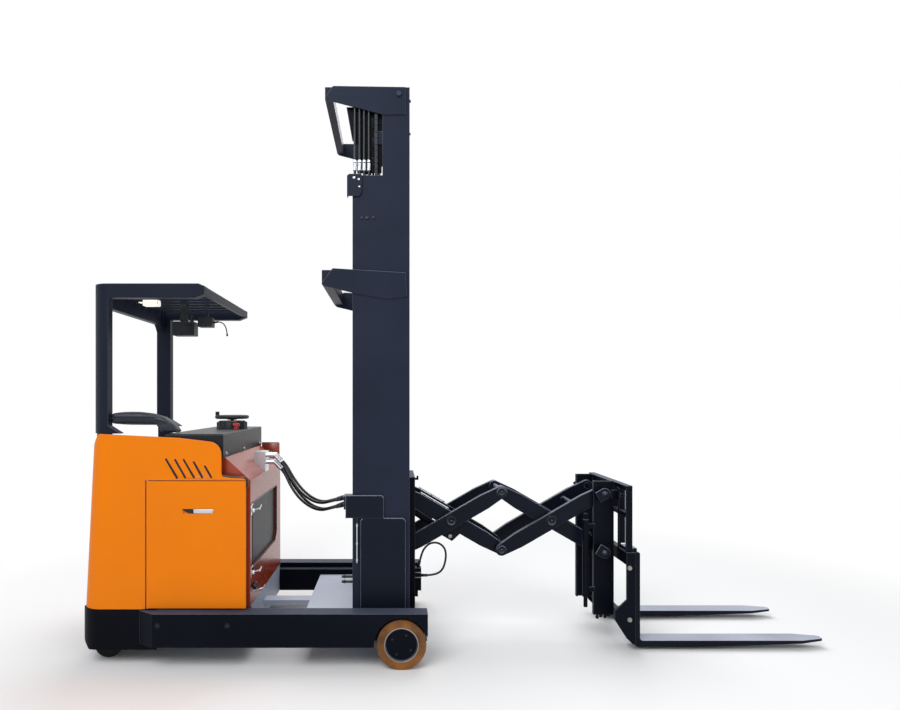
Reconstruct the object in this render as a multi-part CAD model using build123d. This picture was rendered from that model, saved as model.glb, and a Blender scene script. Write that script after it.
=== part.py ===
"""Reach truck with a telescopic mast and a double scissor reach, in millimetres.

+X points to the fork tips, +Y to the truck's left and +Z up. The origin is on the
floor under the middle of the truck. Pieces are built on the left (+Y) and mirrored.
"""

from build123d import *
import math
import os

os.makedirs("parts", exist_ok=True)

# Clearances shared by everything that moves
FIT = 0.05
SEAT = 0.3
PASS = 5.0

# Truck body
BODY_HALF = 565.0
BODY_FRONT = -1303.0
BODY_REAR_LOW = -2290.0
BODY_REAR_HIGH = -2239.0
BODY_BOTTOM = 332.0
BODY_TOP = 1372.0
BODY_CORNER = 110.0
PANEL_WALL = 12.0

# Outrigger legs
LEG_OUT = 635.0
LEG_IN = 475.0
LEG_BOTTOM = 131.0
LEG_TOP = 327.0
LEG_FRONT = -227.0
LEG_REAR = -1834.0
LEG_TAPER = 100.0
LEDGE_WIDTH = 52.0
LEDGE_TOP = 290.0

# Load wheels in the legs' front ends
LOAD_WHEEL_X = -381.0
LOAD_WHEEL_RADIUS = 145.0
LOAD_WHEEL_WIDTH = 98.0
LOAD_RIM_RADIUS = 101.5
LOAD_AXLE_RADIUS = 20.0
ARCH_GAP = 15.0

# Rear skirt
SKIRT_BOTTOM = 92.0
SKIRT_WALL = 15.0
SKIRT_CHAMFER_TOP = 157.0
SKIRT_CHAMFER_RUN = 60.0
SKIRT_REAR = -2300.0

# Deck, beds and floor
PLATE = 12.0
DECK_TOP = 250.0
DECK_REAR = -980.0
MAST_BAY_REAR = -684.0
MAST_BAY_HALF = 447.0
BED_TOP = 335.0
BULKHEAD_X = -1790.0
FLOOR_REAR = -2268.0
ENTRY_RIGHT = -420.0
ENTRY_LEFT = 60.0
TIE_BAR = 35.0
CABINET_REAR = -2225.0
CABINET_LEFT = 470.0
CABINET_TOP = 1150.0

# Hood and console
HOOD_FRONT = -1290.0
HOOD_HALF = 500.0
HOOD_WALL = 15.0
HOOD_LIP = 1090.0
HOOD_TOP = 1228.0
HOOD_BEND = -1442.0
WINDOW_RIGHT = -450.0
WINDOW_LEFT = 343.0
WINDOW_BOTTOM = 550.0
WINDOW_TOP = 945.0
CONSOLE_HALF = 540.0
CONSOLE_TOP = 1370.0
CONSOLE_REAR = -1790.0
MANIFOLD_TOP = 1225.0
MANIFOLD_DEPTH = 75.0
ELBOW_X = -1235.0

# Side door
DOOR_REAR = -1895.0
DOOR_BOTTOM = 337.0
DOOR_TOP = 1091.0
HINGE_RADIUS = 3.0

# Battery
BATTERY_LENGTH = 385.0
BATTERY_WIDTH = 940.0
BATTERY_HEIGHT = 700.0
BATTERY_FRONT = -1340.0

# Steering wheel
STEER_X = -1580.0
STEER_Y = 200.0
STEER_Z = 1452.0
STEER_RADIUS = 105.0

# Overhead guard
GUARD_TOP = 2267.0
GUARD_REAR = -2240.0
GUARD_DEPTH = 85.0
GUARD_TUBE = 60.0
GUARD_OUT = BODY_HALF - PANEL_WALL - SEAT
GUARD_BEND = -1588.0
GUARD_TIP = -1552.0
GUARD_TIP_TOP = 2252.0
POST_FRONT = -2125.0
GUARD_NOSE = 48.0
NOSE_REAR = GUARD_TIP - 26.0
ARCH_X = (-2225.0, -2180.0)
ROOF_BARS = 7
ROOF_BAR_WIDTH = 20.0
ROOF_BAR_DEPTH = 40.0

# Mast rails: web thickness, flange thickness and flange reach across the truck
RAIL_FRONT = -328.0
OUTER_REAR = -495.0
RAIL_PLATE = 16.0
OUTER_SPAN = (350.0, 430.0)
OUTER_Z = (100.0, 3494.0)
MIDDLE_SPAN = (275.0, 345.0)
INNER_SPAN = (210.0, 270.0)
MOVING_RAIL_X = (-487.0, -337.0)
MOVING_RAIL_Z = (100.3, 3480.0)
MOVING_PLATE = 14.0
FOOT_BOTTOM = 80.0
WING_REAR = -679.0
WING_TOP = 2954.0
ROLLER_GAP = 0.5
OUTER_BAR_X = (-545.0, -522.0)
MIDDLE_BAR_X = (-515.0, -487.0)
INNER_BAR_X = (-486.0, -464.0)
COVER_THICK = 14.0

# Hose brackets on the mast's side: x, z, corner radius
TOP_BRACKET = [
    (-848, 3426, 10),
    (-799, 3498, 10),
    (-352, 3491, 4),
    (-352, 3325, 4),
    (-488, 3323, 10),
    (-836, 3414, 6),
]
MIDDLE_BRACKET = [
    (-870, 2289, 6),
    (-801, 2381, 10),
    (-354, 2354, 6),
    (-346, 2208, 6),
    (-474, 2195, 10),
    (-672, 2229, 10),
    (-852, 2272, 6),
]

# Lift cylinders
LIFT_X = -590.0
LIFT_Y = 370.0
LIFT_BARREL_RADIUS = 38.0
LIFT_ROD_RADIUS = 24.0
LIFT_BARREL_TOP = 2900.0
LIFT_HEAD_Z = (3400.0, 3430.0)
FREE_X = -415.0
FREE_BARREL_RADIUS = 36.0
FREE_ROD_RADIUS = 24.0
FREE_BARREL_TOP = 1700.0

# Reach carriage and scissor
WEB_OUT = 205.0
WEB_THICK = 12.0
CHANNEL_DEPTH = 16.0
SCISSOR_ROLLER = 53.0
CHANNEL_WALL = 12.0
MAST_PIN_X = -377.0
PIN_TOP_Z = 970.0
ARM_LENGTH = 760.0
ARM_ANGLE = 30.0
ARM_MIDDLE = 50.0
ARM_END = 38.0
ARM_TAPER = 130.0
OUTER_ARM = (146.0, 175.0)
INNER_ARM = (113.0, 140.0)
ARM_PIN = 20.0
PIN_HEAD = 30.0
OPEN_PIVOT_GAP = 0.5
CARRIAGE_Z = (150.3, 1070.0)
CARRIAGE_FOOT = 172.3
VALVE_X = (-287.0, -240.0)
VALVE_TOP = 440.0
FORK_CHANNEL_Z = (177.0, 1046.0)

# Reach cylinders
REACH_ANCHOR = (-440.0, 925.0)
REACH_Y = 80.0
REACH_BARREL = 22.0
REACH_ROD = 12.0
REACH_PIN = 14.0
LUG_ALONG = 429.0
LUG_BELOW = 95.0

# Fork frame, forks and load backrest
FRAME_REAR = 1024.0
FRAME_THICK = 40.0
FRAME_HALF = 370.0
UPPER_BAR_Z = (545.0, 623.0)
LOWER_BAR_Z = (130.0, 205.0)
TILT_PIN_X = 1044.0
TILT_PIN_Z = 960.0
BACKREST_Z = (840.0, 1037.0)
BACKREST_BARS = (-121.0, 0.0, 121.0)
TILT_POST = (221.0, 247.0)
FORK_Y = 280.0
FORK_WIDTH = 120.0
FORK_THICK = 40.0
FORK_TIP = 2300.0
FORK_BOTTOM = 20.0

# Drive unit, left rear
DRIVE_X = -2010.0
DRIVE_Y = 265.0
DRIVE_RADIUS = 171.5
DRIVE_WIDTH = 114.0
DRIVE_RIM_RADIUS = 125.0

# Caster, right rear
CASTER_X = -2132.0
CASTER_Y = -400.0
CASTER_TRAIL = 40.0
CASTER_RADIUS = 85.0
CASTER_WHEEL_WIDTH = 45.0
CASTER_GAP = 16.0

# Hoses: radius, then each route from its first fitting to its last
HOSE_RADIUS = 9.0
FITTING_RADIUS = 13.0
FITTING_LENGTH = 30.0
HOSE_BLOCK = ((-733.0, -679.0), (-430.0, -345.0), (900.0, 985.0))
HOSE_ROUTES = {
    "hose_lift_right": [
        (-1205, -35, 1170), (-1165, -35, 1130), (-1118, -70, 1046), (-1048, -130, 968),
        (-962, -215, 922), (-885, -318, 920), (-820, -392, 945), (-758, -410, 962),
    ],
    "hose_lift_left": [
        (-1205, 35, 1170), (-1165, 35, 1130), (-1114, 0, 1048), (-1042, -58, 970),
        (-955, -145, 922), (-878, -245, 917), (-815, -330, 942), (-758, -368, 962),
    ],
    "hose_reach_right": [
        (-1205, -35, 1125), (-1165, -35, 1085), (-1120, -74, 1000), (-1050, -136, 922),
        (-963, -220, 878), (-886, -320, 876), (-821, -394, 902), (-758, -410, 920),
    ],
    "hose_reach_left": [
        (-1205, 35, 1125), (-1165, 35, 1085), (-1116, 0, 1002), (-1044, -60, 922),
        (-957, -148, 874), (-880, -247, 870), (-816, -332, 896), (-758, -368, 920),
    ],
}
VALVE_HOSE_RADIUS = 7.0
VALVE_HOSE = [
    (-222, -30, 385), (-160, -30, 385), (-98, -30, 412), (-72, -30, 484), (-72, -30, 561.5),
    (-116.5, -30, 606), (-179.5, -30, 606), (-224, -30, 561.5), (-242, -30, 508), (-255, -30, 458),
]
LEAD_RADIUS = 4.0
GUARD_LEAD = [
    (-1682, 123.2, 2118), (-1650, 124, 2124), (-1618, 126, 2108), (-1602, 130, 2074), (-1599, 136, 2040),
]

# Lines and chain between the mast's side plate and its top bracket
LINE_X = (-665.0, -636.0, -608.0, -579.0)
LINE_RADIUS = 8.0
CHAIN_X = -534.0
CHAIN_PITCH = 19.05
LINE_BAR_Z = (3385.0, 3405.0)


def block(x, y, z):
    """A box from its low and high limits along each axis."""
    centre = [(low + high) / 2 for low, high in (x, y, z)]
    size = [high - low for low, high in (x, y, z)]
    return Pos(*centre) * Box(*size)


def rounded(points):
    """A flat outline from (u, v, corner radius) rows."""
    face = Polygon(*[(u, v) for u, v, _ in points], align=None)
    for u, v, radius in points:
        if radius:
            corner = face.vertices().sort_by_distance((u, v, 0))[0]
            face = fillet(corner, radius)
    return face


def sharp(points):
    """The same outline rows with every corner left square."""
    return [(u, v, 0) for u, v in points]


def side_face(face, y):
    """A flat X, Z face made as thick as y's two limits."""
    return extrude(Plane.XZ.offset(-y[0]) * face, amount=y[1] - y[0], dir=(0, 1, 0))


def side_plate(points, y):
    """An X, Z outline made as thick as y's two limits."""
    return side_face(rounded(points), y)


def plan_plate(points, z):
    """An X, Y outline made as thick as z's two limits."""
    return extrude(Plane.XY.offset(z[0]) * rounded(points), amount=z[1] - z[0], dir=(0, 0, 1))


def end_plate(points, x):
    """A Y, Z outline made as thick as x's two limits."""
    return extrude(Plane.YZ.offset(x[0]) * rounded(points), amount=x[1] - x[0], dir=(1, 0, 0))


def cross_shaft(x, z, radius, y):
    """A round bar along Y."""
    return Pos(x, (y[0] + y[1]) / 2, z) * Rot(90, 0, 0) * Cylinder(radius, y[1] - y[0])


def upright(x, y, radius, z):
    """A round bar along Z."""
    return Pos(x, y, (z[0] + z[1]) / 2) * Cylinder(radius, z[1] - z[0])


def lengthways(y, z, radius, x):
    """A round bar along X."""
    return Pos((x[0] + x[1]) / 2, y, z) * Rot(0, 90, 0) * Cylinder(radius, x[1] - x[0])


def right_of(shape):
    """The right-hand copy of a left-hand shape."""
    return mirror(shape, about=Plane.XZ)


def both(shape):
    """A left-hand shape with its right-hand copy."""
    return shape + right_of(shape)


def save(name, shape):
    """Write one node."""
    export_step(Compound(children=list(shape.solids())), f"parts/{name}.step")


# Legs and chassis

def leg():
    plan = sharp([
        (LEG_FRONT, LEG_IN),
        (LEG_FRONT, LEG_OUT),
        (LEG_REAR, LEG_OUT),
        (LEG_REAR - LEG_TAPER, BODY_HALF),
        (LEG_REAR, BODY_HALF),
        (LEG_REAR, LEG_IN),
    ])
    beam = plan_plate(plan, (LEG_BOTTOM, LEG_TOP))
    ledge = block((HOOD_FRONT, LEG_FRONT + 1), (LEG_IN - 1, LEG_IN + LEDGE_WIDTH), (LEDGE_TOP, LEG_TOP + 1))
    inner_cheek = LEG_OUT - LOAD_WHEEL_WIDTH - PASS
    arch_radius = LOAD_WHEEL_RADIUS + ARCH_GAP
    across = (inner_cheek, LEG_OUT + 1)
    arch = cross_shaft(LOAD_WHEEL_X, LOAD_WHEEL_RADIUS, arch_radius, across)
    arch += block((LOAD_WHEEL_X - arch_radius, LOAD_WHEEL_X + arch_radius), across, (0, LOAD_WHEEL_RADIUS))
    axle = cross_shaft(LOAD_WHEEL_X, LOAD_WHEEL_RADIUS, LOAD_AXLE_RADIUS, (LEG_IN + 10, LEG_OUT - 14))
    return beam - ledge - arch + axle


def load_tyre():
    inner = LEG_OUT - LOAD_WHEEL_WIDTH
    tyre = cross_shaft(LOAD_WHEEL_X, LOAD_WHEEL_RADIUS, LOAD_WHEEL_RADIUS, (inner, LEG_OUT))
    tyre = chamfer(tyre.edges().filter_by(GeomType.CIRCLE), 6)
    return tyre - cross_shaft(LOAD_WHEEL_X, LOAD_WHEEL_RADIUS, LOAD_RIM_RADIUS, (inner - 1, LEG_OUT + 1))


def load_hub():
    inner = LEG_OUT - LOAD_WHEEL_WIDTH
    rim = LOAD_RIM_RADIUS - SEAT
    hub = cross_shaft(LOAD_WHEEL_X, LOAD_WHEEL_RADIUS, rim, (inner + 2, LEG_OUT - 1))
    for side in ((inner, inner + 22), (LEG_OUT - 9, LEG_OUT)):
        hub -= cross_shaft(LOAD_WHEEL_X, LOAD_WHEEL_RADIUS, rim - 11, side)
    return hub - cross_shaft(LOAD_WHEEL_X, LOAD_WHEEL_RADIUS, LOAD_AXLE_RADIUS + FIT, (inner, LEG_OUT - 13))


def chassis_frame():
    lower = DECK_TOP - PLATE
    deck = block((DECK_REAR, MAST_BAY_REAR), (-LEG_IN, LEG_IN), (lower, DECK_TOP))
    for y in (280.0, 410.0):
        deck -= block((MAST_BAY_REAR - 62, MAST_BAY_REAR + 1), (y - 7, y + 7), (lower - 1, DECK_TOP + 1))
    deck += both(block((MAST_BAY_REAR, -345), (MAST_BAY_HALF, LEG_IN), (lower, DECK_TOP)))
    beam = block((MAST_BAY_REAR, OUTER_REAR), (-LEG_IN, LEG_IN), (LEG_BOTTOM, DECK_TOP))
    deck_lip = block((DECK_REAR, DECK_REAR + PLATE), (-LEG_IN, LEG_IN), (LEG_BOTTOM + 40, lower))
    tie = block((HOOD_FRONT - 20, DECK_REAR), (-100, 0), (lower - TIE_BAR, lower))
    front_wall = block((HOOD_FRONT - 20, HOOD_FRONT), (-LEG_IN, LEG_IN), (LEG_BOTTOM, LEG_TOP))
    bed = block((BULKHEAD_X + HOOD_WALL, HOOD_FRONT - 20), (-LEG_IN, LEG_IN), (BED_TOP - 20, BED_TOP))
    bed -= block((HOOD_FRONT - 25, HOOD_FRONT), (-LEG_IN, LEG_IN), (LEG_TOP, BED_TOP + 1))
    bulkhead = block((BULKHEAD_X, BULKHEAD_X + HOOD_WALL), (-470, 470), (LEG_BOTTOM + 12, HOOD_TOP))
    return deck + beam + deck_lip + tie + front_wall + bed + bulkhead


def mast_foot():
    z = (FOOT_BOTTOM, OUTER_Z[0] - FIT)
    foot = both(block((OUTER_REAR, RAIL_FRONT), (INNER_SPAN[0], OUTER_SPAN[1]), z))
    half = INNER_SPAN[0] - FIT
    return foot + block((OUTER_REAR, INNER_BAR_X[1]), (-half, half), z)


def rear_skirt():
    """The skirt is a tub wall with its lower rear edge cut back over the caster."""
    def tub(inset):
        rear = SKIRT_REAR + inset
        half = BODY_HALF - inset
        radius = BODY_CORNER - inset
        return [(LEG_REAR, -half, 0), (rear, -half, radius), (rear, half, radius), (LEG_REAR, half, 0)]

    wall = plan_plate(tub(0), (SKIRT_BOTTOM, BODY_BOTTOM - SEAT))
    wall -= plan_plate(tub(SKIRT_WALL), (SKIRT_BOTTOM - 1, BODY_BOTTOM))
    profile = sharp([
        (LEG_REAR, SKIRT_BOTTOM),
        (SKIRT_REAR + SKIRT_CHAMFER_RUN, SKIRT_BOTTOM),
        (SKIRT_REAR, SKIRT_CHAMFER_TOP),
        (BODY_REAR_LOW, BODY_BOTTOM),
        (LEG_REAR, BODY_BOTTOM),
    ])
    wall = wall & side_plate(profile, (-BODY_HALF, BODY_HALF))
    step = block((SKIRT_REAR, FLOOR_REAR), (ENTRY_RIGHT, ENTRY_LEFT), (DECK_TOP, BODY_BOTTOM + 1))
    seat_y = (GUARD_OUT - GUARD_TUBE - 10, BODY_HALF - SKIRT_WALL + 1)
    seats = both(block((-2230, POST_FRONT + 10), seat_y, (BODY_BOTTOM - 14, BODY_BOTTOM - SEAT)))
    return wall - step + seats


def operator_floor():
    """The floor plate, stood on the drive side by a cabinet wall, with its ribbed mat."""
    z = (DECK_TOP - PLATE, DECK_TOP)
    half = BODY_HALF - SKIRT_WALL
    plate = block((FLOOR_REAR, LEG_REAR), (-half, ENTRY_LEFT), z)
    corner = BODY_CORNER - SKIRT_WALL
    plate = fillet(plate.edges().filter_by(Axis.Z).sort_by(Axis.X)[:2].sort_by(Axis.Y)[0], corner)
    return plate + block((LEG_REAR, BULKHEAD_X), (-LEG_IN + PASS, ENTRY_LEFT), z)


def drive_cabinet():
    """The cabinet beside the operator, open below for the drive wheel."""
    x = (CABINET_REAR, BULKHEAD_X)
    y = (ENTRY_LEFT, CABINET_LEFT)
    box = block(x, y, (DECK_TOP - PLATE, CABINET_TOP))
    room = block((x[0] + PLATE, x[1] - PLATE), (y[0] + PLATE, y[1] - PLATE), (0, CABINET_TOP - PLATE))
    return box - room


# Body panels

def body_shell():
    """The panels as one tub whose rear leans forward as it rises."""
    def plan(rear, inset, front):
        half = BODY_HALF - inset
        corner = BODY_CORNER - inset
        rows = [(front, -half, 0), (rear + inset, -half, corner), (rear + inset, half, corner), (front, half, 0)]
        return rounded(rows)

    def tub(inset, front, low, high):
        lower = Plane.XY.offset(low) * plan(BODY_REAR_LOW, inset, front)
        upper = Plane.XY.offset(high) * plan(BODY_REAR_HIGH, inset, front)
        return loft([lower, upper], ruled=True)

    outer = tub(0, BODY_FRONT, BODY_BOTTOM, BODY_TOP)
    return outer - tub(PANEL_WALL, BODY_FRONT + 50, BODY_BOTTOM, BODY_TOP)


def panel_outline(rear_top):
    """The panels' outline from the side: x, z, corner radius."""
    return [
        (-2320, BODY_BOTTOM, 0),
        (-2320, 1289, 0),
        (-2237, 1289, 0),
        (-2184, rear_top, 20),
        (-1700, rear_top - 24, 60),
        (-1450, 1318, 75),
        (-1448, 1117, 20),
        (BODY_FRONT, 1113, 20),
        (BODY_FRONT, BODY_BOTTOM, 0),
    ]


def vents():
    """Five slanted slots: foot X, foot Z, head X, head Z."""
    rows = [
        (-1711, 1110, -1777, 1223),
        (-1662, 1113, -1723, 1220),
        (-1610, 1113, -1672, 1220),
        (-1561, 1113, -1612, 1206),
        (-1507, 1113, -1546, 1181),
    ]
    cut = Part()
    for foot_x, foot_z, head_x, head_z in rows:
        length = math.hypot(head_x - foot_x, head_z - foot_z)
        turn = math.degrees(math.atan2(head_z - foot_z, head_x - foot_x))
        centre = ((foot_x + head_x) / 2, (foot_z + head_z) / 2)
        slot = Pos(*centre) * Rot(0, 0, turn) * SlotOverall(length, 12)
        cut += side_face(slot, (-BODY_HALF - 5, -BODY_HALF + PANEL_WALL + 5))
    return cut


def side_panel_left(shell):
    outline = side_plate(panel_outline(BODY_TOP), (0, BODY_HALF + 1))
    keep = block((-2400, BODY_FRONT), (ENTRY_LEFT, BODY_HALF + 1), (BODY_BOTTOM, BODY_TOP))
    low_rear = block((-2400, -1800), (ENTRY_LEFT - 1, BODY_HALF + 1), (1250, BODY_TOP + 1))
    return (shell & outline & keep) - low_rear - right_of(vents())


def side_panel_right(shell):
    outline = side_plate(panel_outline(BODY_TOP), (-BODY_HALF - 1, ENTRY_RIGHT))
    doorway = block((DOOR_REAR - PASS, BODY_FRONT + 1), (-BODY_HALF - 1, -HOOD_HALF), (BODY_BOTTOM - 1, DOOR_TOP + PASS))
    return (shell & outline) - doorway - vents()


def side_door():
    """The door turns about a pin inside its rounded rear edge."""
    half_wall = PANEL_WALL / 2
    hinge_x = DOOR_REAR + half_wall
    hinge_y = -BODY_HALF + half_wall
    leaf = block((hinge_x, BODY_FRONT), (-BODY_HALF, -BODY_HALF + PANEL_WALL), (DOOR_BOTTOM, DOOR_TOP))
    leaf += upright(hinge_x, hinge_y, half_wall, (DOOR_BOTTOM, DOOR_TOP))
    for z in ((DOOR_BOTTOM - 1, DOOR_BOTTOM + 36), (DOOR_TOP - 36, DOOR_TOP + 1)):
        leaf -= upright(hinge_x, hinge_y, HINGE_RADIUS + FIT, z)
    recess = block((-1674, -1496), (-BODY_HALF - 1, -BODY_HALF + 8), (898, 927))
    return leaf - recess


def door_pins():
    hinge_x = DOOR_REAR + PANEL_WALL / 2
    hinge_y = -BODY_HALF + PANEL_WALL / 2
    lower = upright(hinge_x, hinge_y, HINGE_RADIUS, (BODY_BOTTOM - SEAT, DOOR_BOTTOM + 35))
    return lower + upright(hinge_x, hinge_y, HINGE_RADIUS, (DOOR_TOP - 35, DOOR_TOP + PASS))


def door_latch():
    """A flush paddle with its finger well at the left."""
    paddle = block((-1610, -1498), (-BODY_HALF - 1, -BODY_HALF + 8 - SEAT), (900, 925))
    return paddle - block((-1612, -1590), (-BODY_HALF - 2, -BODY_HALF + 3), (899, 926))


def battery_hood():
    rise = HOOD_TOP - HOOD_LIP

    def profile(inset, rear, bottom):
        front = HOOD_FRONT - inset
        lip = HOOD_LIP - inset * 0.5
        bend = HOOD_BEND - inset * 0.5
        return sharp([(front, bottom), (front, lip), (bend, lip + rise - inset * 0.5), (rear, HOOD_TOP - inset), (rear, bottom)])

    rear = BULKHEAD_X + HOOD_WALL
    hood = side_plate(profile(0, rear, LEG_TOP), (-HOOD_HALF, HOOD_HALF))
    inside = HOOD_HALF - HOOD_WALL
    hood -= side_plate(profile(HOOD_WALL, rear - 1, LEG_TOP - 1), (-inside, inside))
    window = sharp([
        (WINDOW_RIGHT, WINDOW_BOTTOM),
        (WINDOW_LEFT - 60, WINDOW_BOTTOM),
        (WINDOW_LEFT, WINDOW_BOTTOM + 60),
        (WINDOW_LEFT, WINDOW_TOP),
        (WINDOW_RIGHT, WINDOW_TOP),
    ])
    hood -= end_plate(window, (HOOD_FRONT - HOOD_WALL - 1, HOOD_FRONT + 1))
    side_window = block((BATTERY_FRONT - BATTERY_LENGTH - 15, BATTERY_FRONT + 15), (-HOOD_HALF - 1, -inside + 1), (BED_TOP, 1060))
    return hood - side_window


def battery_cover():
    x = (HOOD_FRONT - HOOD_WALL - 6, HOOD_FRONT - HOOD_WALL)
    return block(x, (WINDOW_RIGHT - 15, WINDOW_LEFT + 15), (WINDOW_BOTTOM - 15, WINDOW_TOP + 15))


def battery():
    half = BATTERY_WIDTH / 2
    return block((BATTERY_FRONT - BATTERY_LENGTH, BATTERY_FRONT), (-half, half), (BED_TOP, BED_TOP + BATTERY_HEIGHT))


def manifold():
    """The hydraulic block on the hood's slope with four elbow fittings."""
    slope = (HOOD_TOP - HOOD_LIP) / (HOOD_FRONT - HOOD_BEND)
    rear = HOOD_FRONT - MANIFOLD_DEPTH
    outline = sharp([
        (HOOD_FRONT, HOOD_LIP),
        (HOOD_FRONT, MANIFOLD_TOP),
        (rear, MANIFOLD_TOP),
        (rear, HOOD_LIP + MANIFOLD_DEPTH * slope),
    ])
    shape = side_plate(outline, (-60, 60))
    for route in HOSE_ROUTES.values():
        start = route[0]
        port_z = start[2] + start[0] - ELBOW_X
        shape += lengthways(start[1], port_z, FITTING_RADIUS + 2, (HOOD_FRONT, HOOD_FRONT + 25))
        shape += lengthways(start[1], port_z, FITTING_RADIUS, (HOOD_FRONT + 25, ELBOW_X))
        shape += Pos(ELBOW_X, start[1], port_z) * Sphere(FITTING_RADIUS)
        shape += fitting(route[1], start, math.dist((start[0], start[2]), (ELBOW_X, port_z)))
    return shape


def console():
    shape = block((CONSOLE_REAR, HOOD_BEND), (-CONSOLE_HALF, CONSOLE_HALF), (HOOD_TOP, CONSOLE_TOP))
    return chamfer(shape.faces().sort_by(Axis.Z)[-1].edges(), 6)


def steering_column():
    """A domed housing under the steering wheel."""
    pod = upright(STEER_X, STEER_Y, 85, (CONSOLE_TOP, CONSOLE_TOP + 50))
    pod = fillet(pod.edges().filter_by(GeomType.CIRCLE).sort_by(Axis.Z)[-1], 30)
    return pod + upright(STEER_X, STEER_Y, 12, (CONSOLE_TOP, STEER_Z - 10))


def steering_wheel():
    rim = Pos(STEER_X, STEER_Y, STEER_Z) * Torus(STEER_RADIUS, 13)
    hub = upright(STEER_X, STEER_Y, 32, (STEER_Z - 20, STEER_Z + 12))
    wheel = rim + hub
    for turn in (90, 210, 330):
        spoke = Pos(STEER_RADIUS / 2, 0, 0) * Box(STEER_RADIUS - 8, 24, 10)
        wheel += Pos(STEER_X, STEER_Y, STEER_Z) * Rot(0, 0, turn) * spoke
    wheel += upright(STEER_X - STEER_RADIUS, STEER_Y, 14, (STEER_Z + 8, STEER_Z + 38))
    return wheel - upright(STEER_X, STEER_Y, 12 + FIT, (STEER_Z - 21, STEER_Z - 10 + SEAT))


def emergency_button():
    button = upright(-1524, 90, 16, (CONSOLE_TOP, CONSOLE_TOP + 22))
    cap = upright(-1524, 90, 24, (CONSOLE_TOP + 22, CONSOLE_TOP + 42))
    return button + fillet(cap.edges().filter_by(GeomType.CIRCLE).sort_by(Axis.Z)[-1], 8)


def lean_pad():
    """The padded rail from the guard post down to the console."""
    outline = [
        (POST_FRONT, 1424, 0),
        (POST_FRONT, 1500, 0),
        (-1960, 1508, 200),
        (-1760, 1470, 120),
        (-1690, CONSOLE_TOP, 0),
        (-1842, CONSOLE_TOP, 0),
        (-1842, 1420, 12),
    ]
    pad = side_plate(outline, (-540, -430))
    return pad


# Overhead guard

def guard_outline(depth, rear, tip):
    """A roof member from the side, level, with its tip cut back above and below."""
    slope = (GUARD_TOP - GUARD_TIP_TOP) / (GUARD_TIP - GUARD_BEND)
    tip_top = GUARD_TIP_TOP + (GUARD_TIP - tip) * slope
    return sharp([
        (rear, GUARD_TOP - depth),
        (rear, GUARD_TOP),
        (GUARD_BEND, GUARD_TOP),
        (tip, tip_top),
        (tip, tip_top - GUARD_NOSE),
        (GUARD_BEND - 20, GUARD_TOP - depth),
    ])


def post_column(rear, corner, z):
    """A guard post whose outer rear edge follows the body's corner."""
    rows = [(GUARD_TIP, -GUARD_OUT, 0), (rear, -GUARD_OUT, corner), (rear, GUARD_OUT, corner), (GUARD_TIP, GUARD_OUT, 0)]
    return plan_plate(rows, z) & block((rear, POST_FRONT), (GUARD_OUT - GUARD_TUBE, GUARD_OUT), z)


def overhead_guard():
    inside = GUARD_OUT - GUARD_TUBE
    beam = side_plate(guard_outline(GUARD_DEPTH, POST_FRONT + FIT, GUARD_TIP), (inside, GUARD_OUT))
    post = post_column(BODY_REAR_HIGH + PANEL_WALL + SEAT, BODY_CORNER - PANEL_WALL - SEAT, (BODY_BOTTOM, BODY_TOP + 1))
    post += post_column(GUARD_REAR, BODY_CORNER, (BODY_TOP + 1, GUARD_TOP))
    front = POST_FRONT + FIT
    gusset = sharp([(front, 1421), (front, BODY_TOP + 1), (-2050, BODY_TOP + 1)])
    guard = both(beam + post + side_plate(gusset, (inside + 10, GUARD_OUT)))
    across = inside - FIT
    arch = [
        (-across, 2080, 0),
        (-across, GUARD_TOP - 5, 0),
        (across, GUARD_TOP - 5, 0),
        (across, 2080, 0),
        (inside - 55, 2140, 30),
        (-inside + 55, 2140, 30),
    ]
    guard += end_plate(arch, ARCH_X)
    nose = block((NOSE_REAR, GUARD_TIP), (-across, across), (GUARD_TIP_TOP - GUARD_NOSE, GUARD_TIP_TOP - 1))
    guard += nose
    bar = guard_outline(ROOF_BAR_DEPTH, ARCH_X[1] + FIT, NOSE_REAR - FIT)
    pitch = 2 * inside / (ROOF_BARS + 1)
    for index in range(ROOF_BARS):
        y = -inside + pitch * (index + 1)
        guard += side_plate(bar, (y - ROOF_BAR_WIDTH / 2, y + ROOF_BAR_WIDTH / 2))
    return guard


def guard_fittings():
    """The lamp, the fan bracket and two control boxes that hang from the roof bars."""
    pitch = 2 * (GUARD_OUT - GUARD_TUBE) / (ROOF_BARS + 1)
    under = GUARD_TOP - ROOF_BAR_DEPTH
    lamp_y = -2 * pitch
    lamp = block((-2031, -1935), (lamp_y - 28, lamp_y + 28), (2178, 2216))
    lamp = chamfer(lamp.faces().sort_by(Axis.Z)[0].edges(), 8)
    lamp += block((-1995, -1970), (lamp_y - 9, lamp_y + 9), (2210, under))
    hanger = block((-1880, -1836), (-9, 9), (2105, under))
    hanger += block((-1880, -1800), (-30, 30), (2093, 2107))
    hanger += block((-1806, -1800), (-30, 30), (2093, 2150))
    box_y = GUARD_LEAD[0][1]
    boxes = block((-1966, -1813), (box_y - 45, box_y + 45), (2022, 2120))
    boxes = fillet(boxes.edges().filter_by(Axis.Y), 8)
    boxes += block((-1900, -1870), (box_y - 9, box_y + 9), (2115, under))
    front = block((-1792, GUARD_LEAD[0][0] - 10), (box_y - 35, box_y + 35), (2083, 2150))
    front = fillet(front.edges().filter_by(Axis.Y), 6)
    front += block((-1745, -1725), (box_y - 9, box_y + 9), (2145, under))
    front += fitting(GUARD_LEAD[1], GUARD_LEAD[0], 12, LEAD_RADIUS + 2)
    return lamp + hanger + boxes + front


# Hoses

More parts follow.
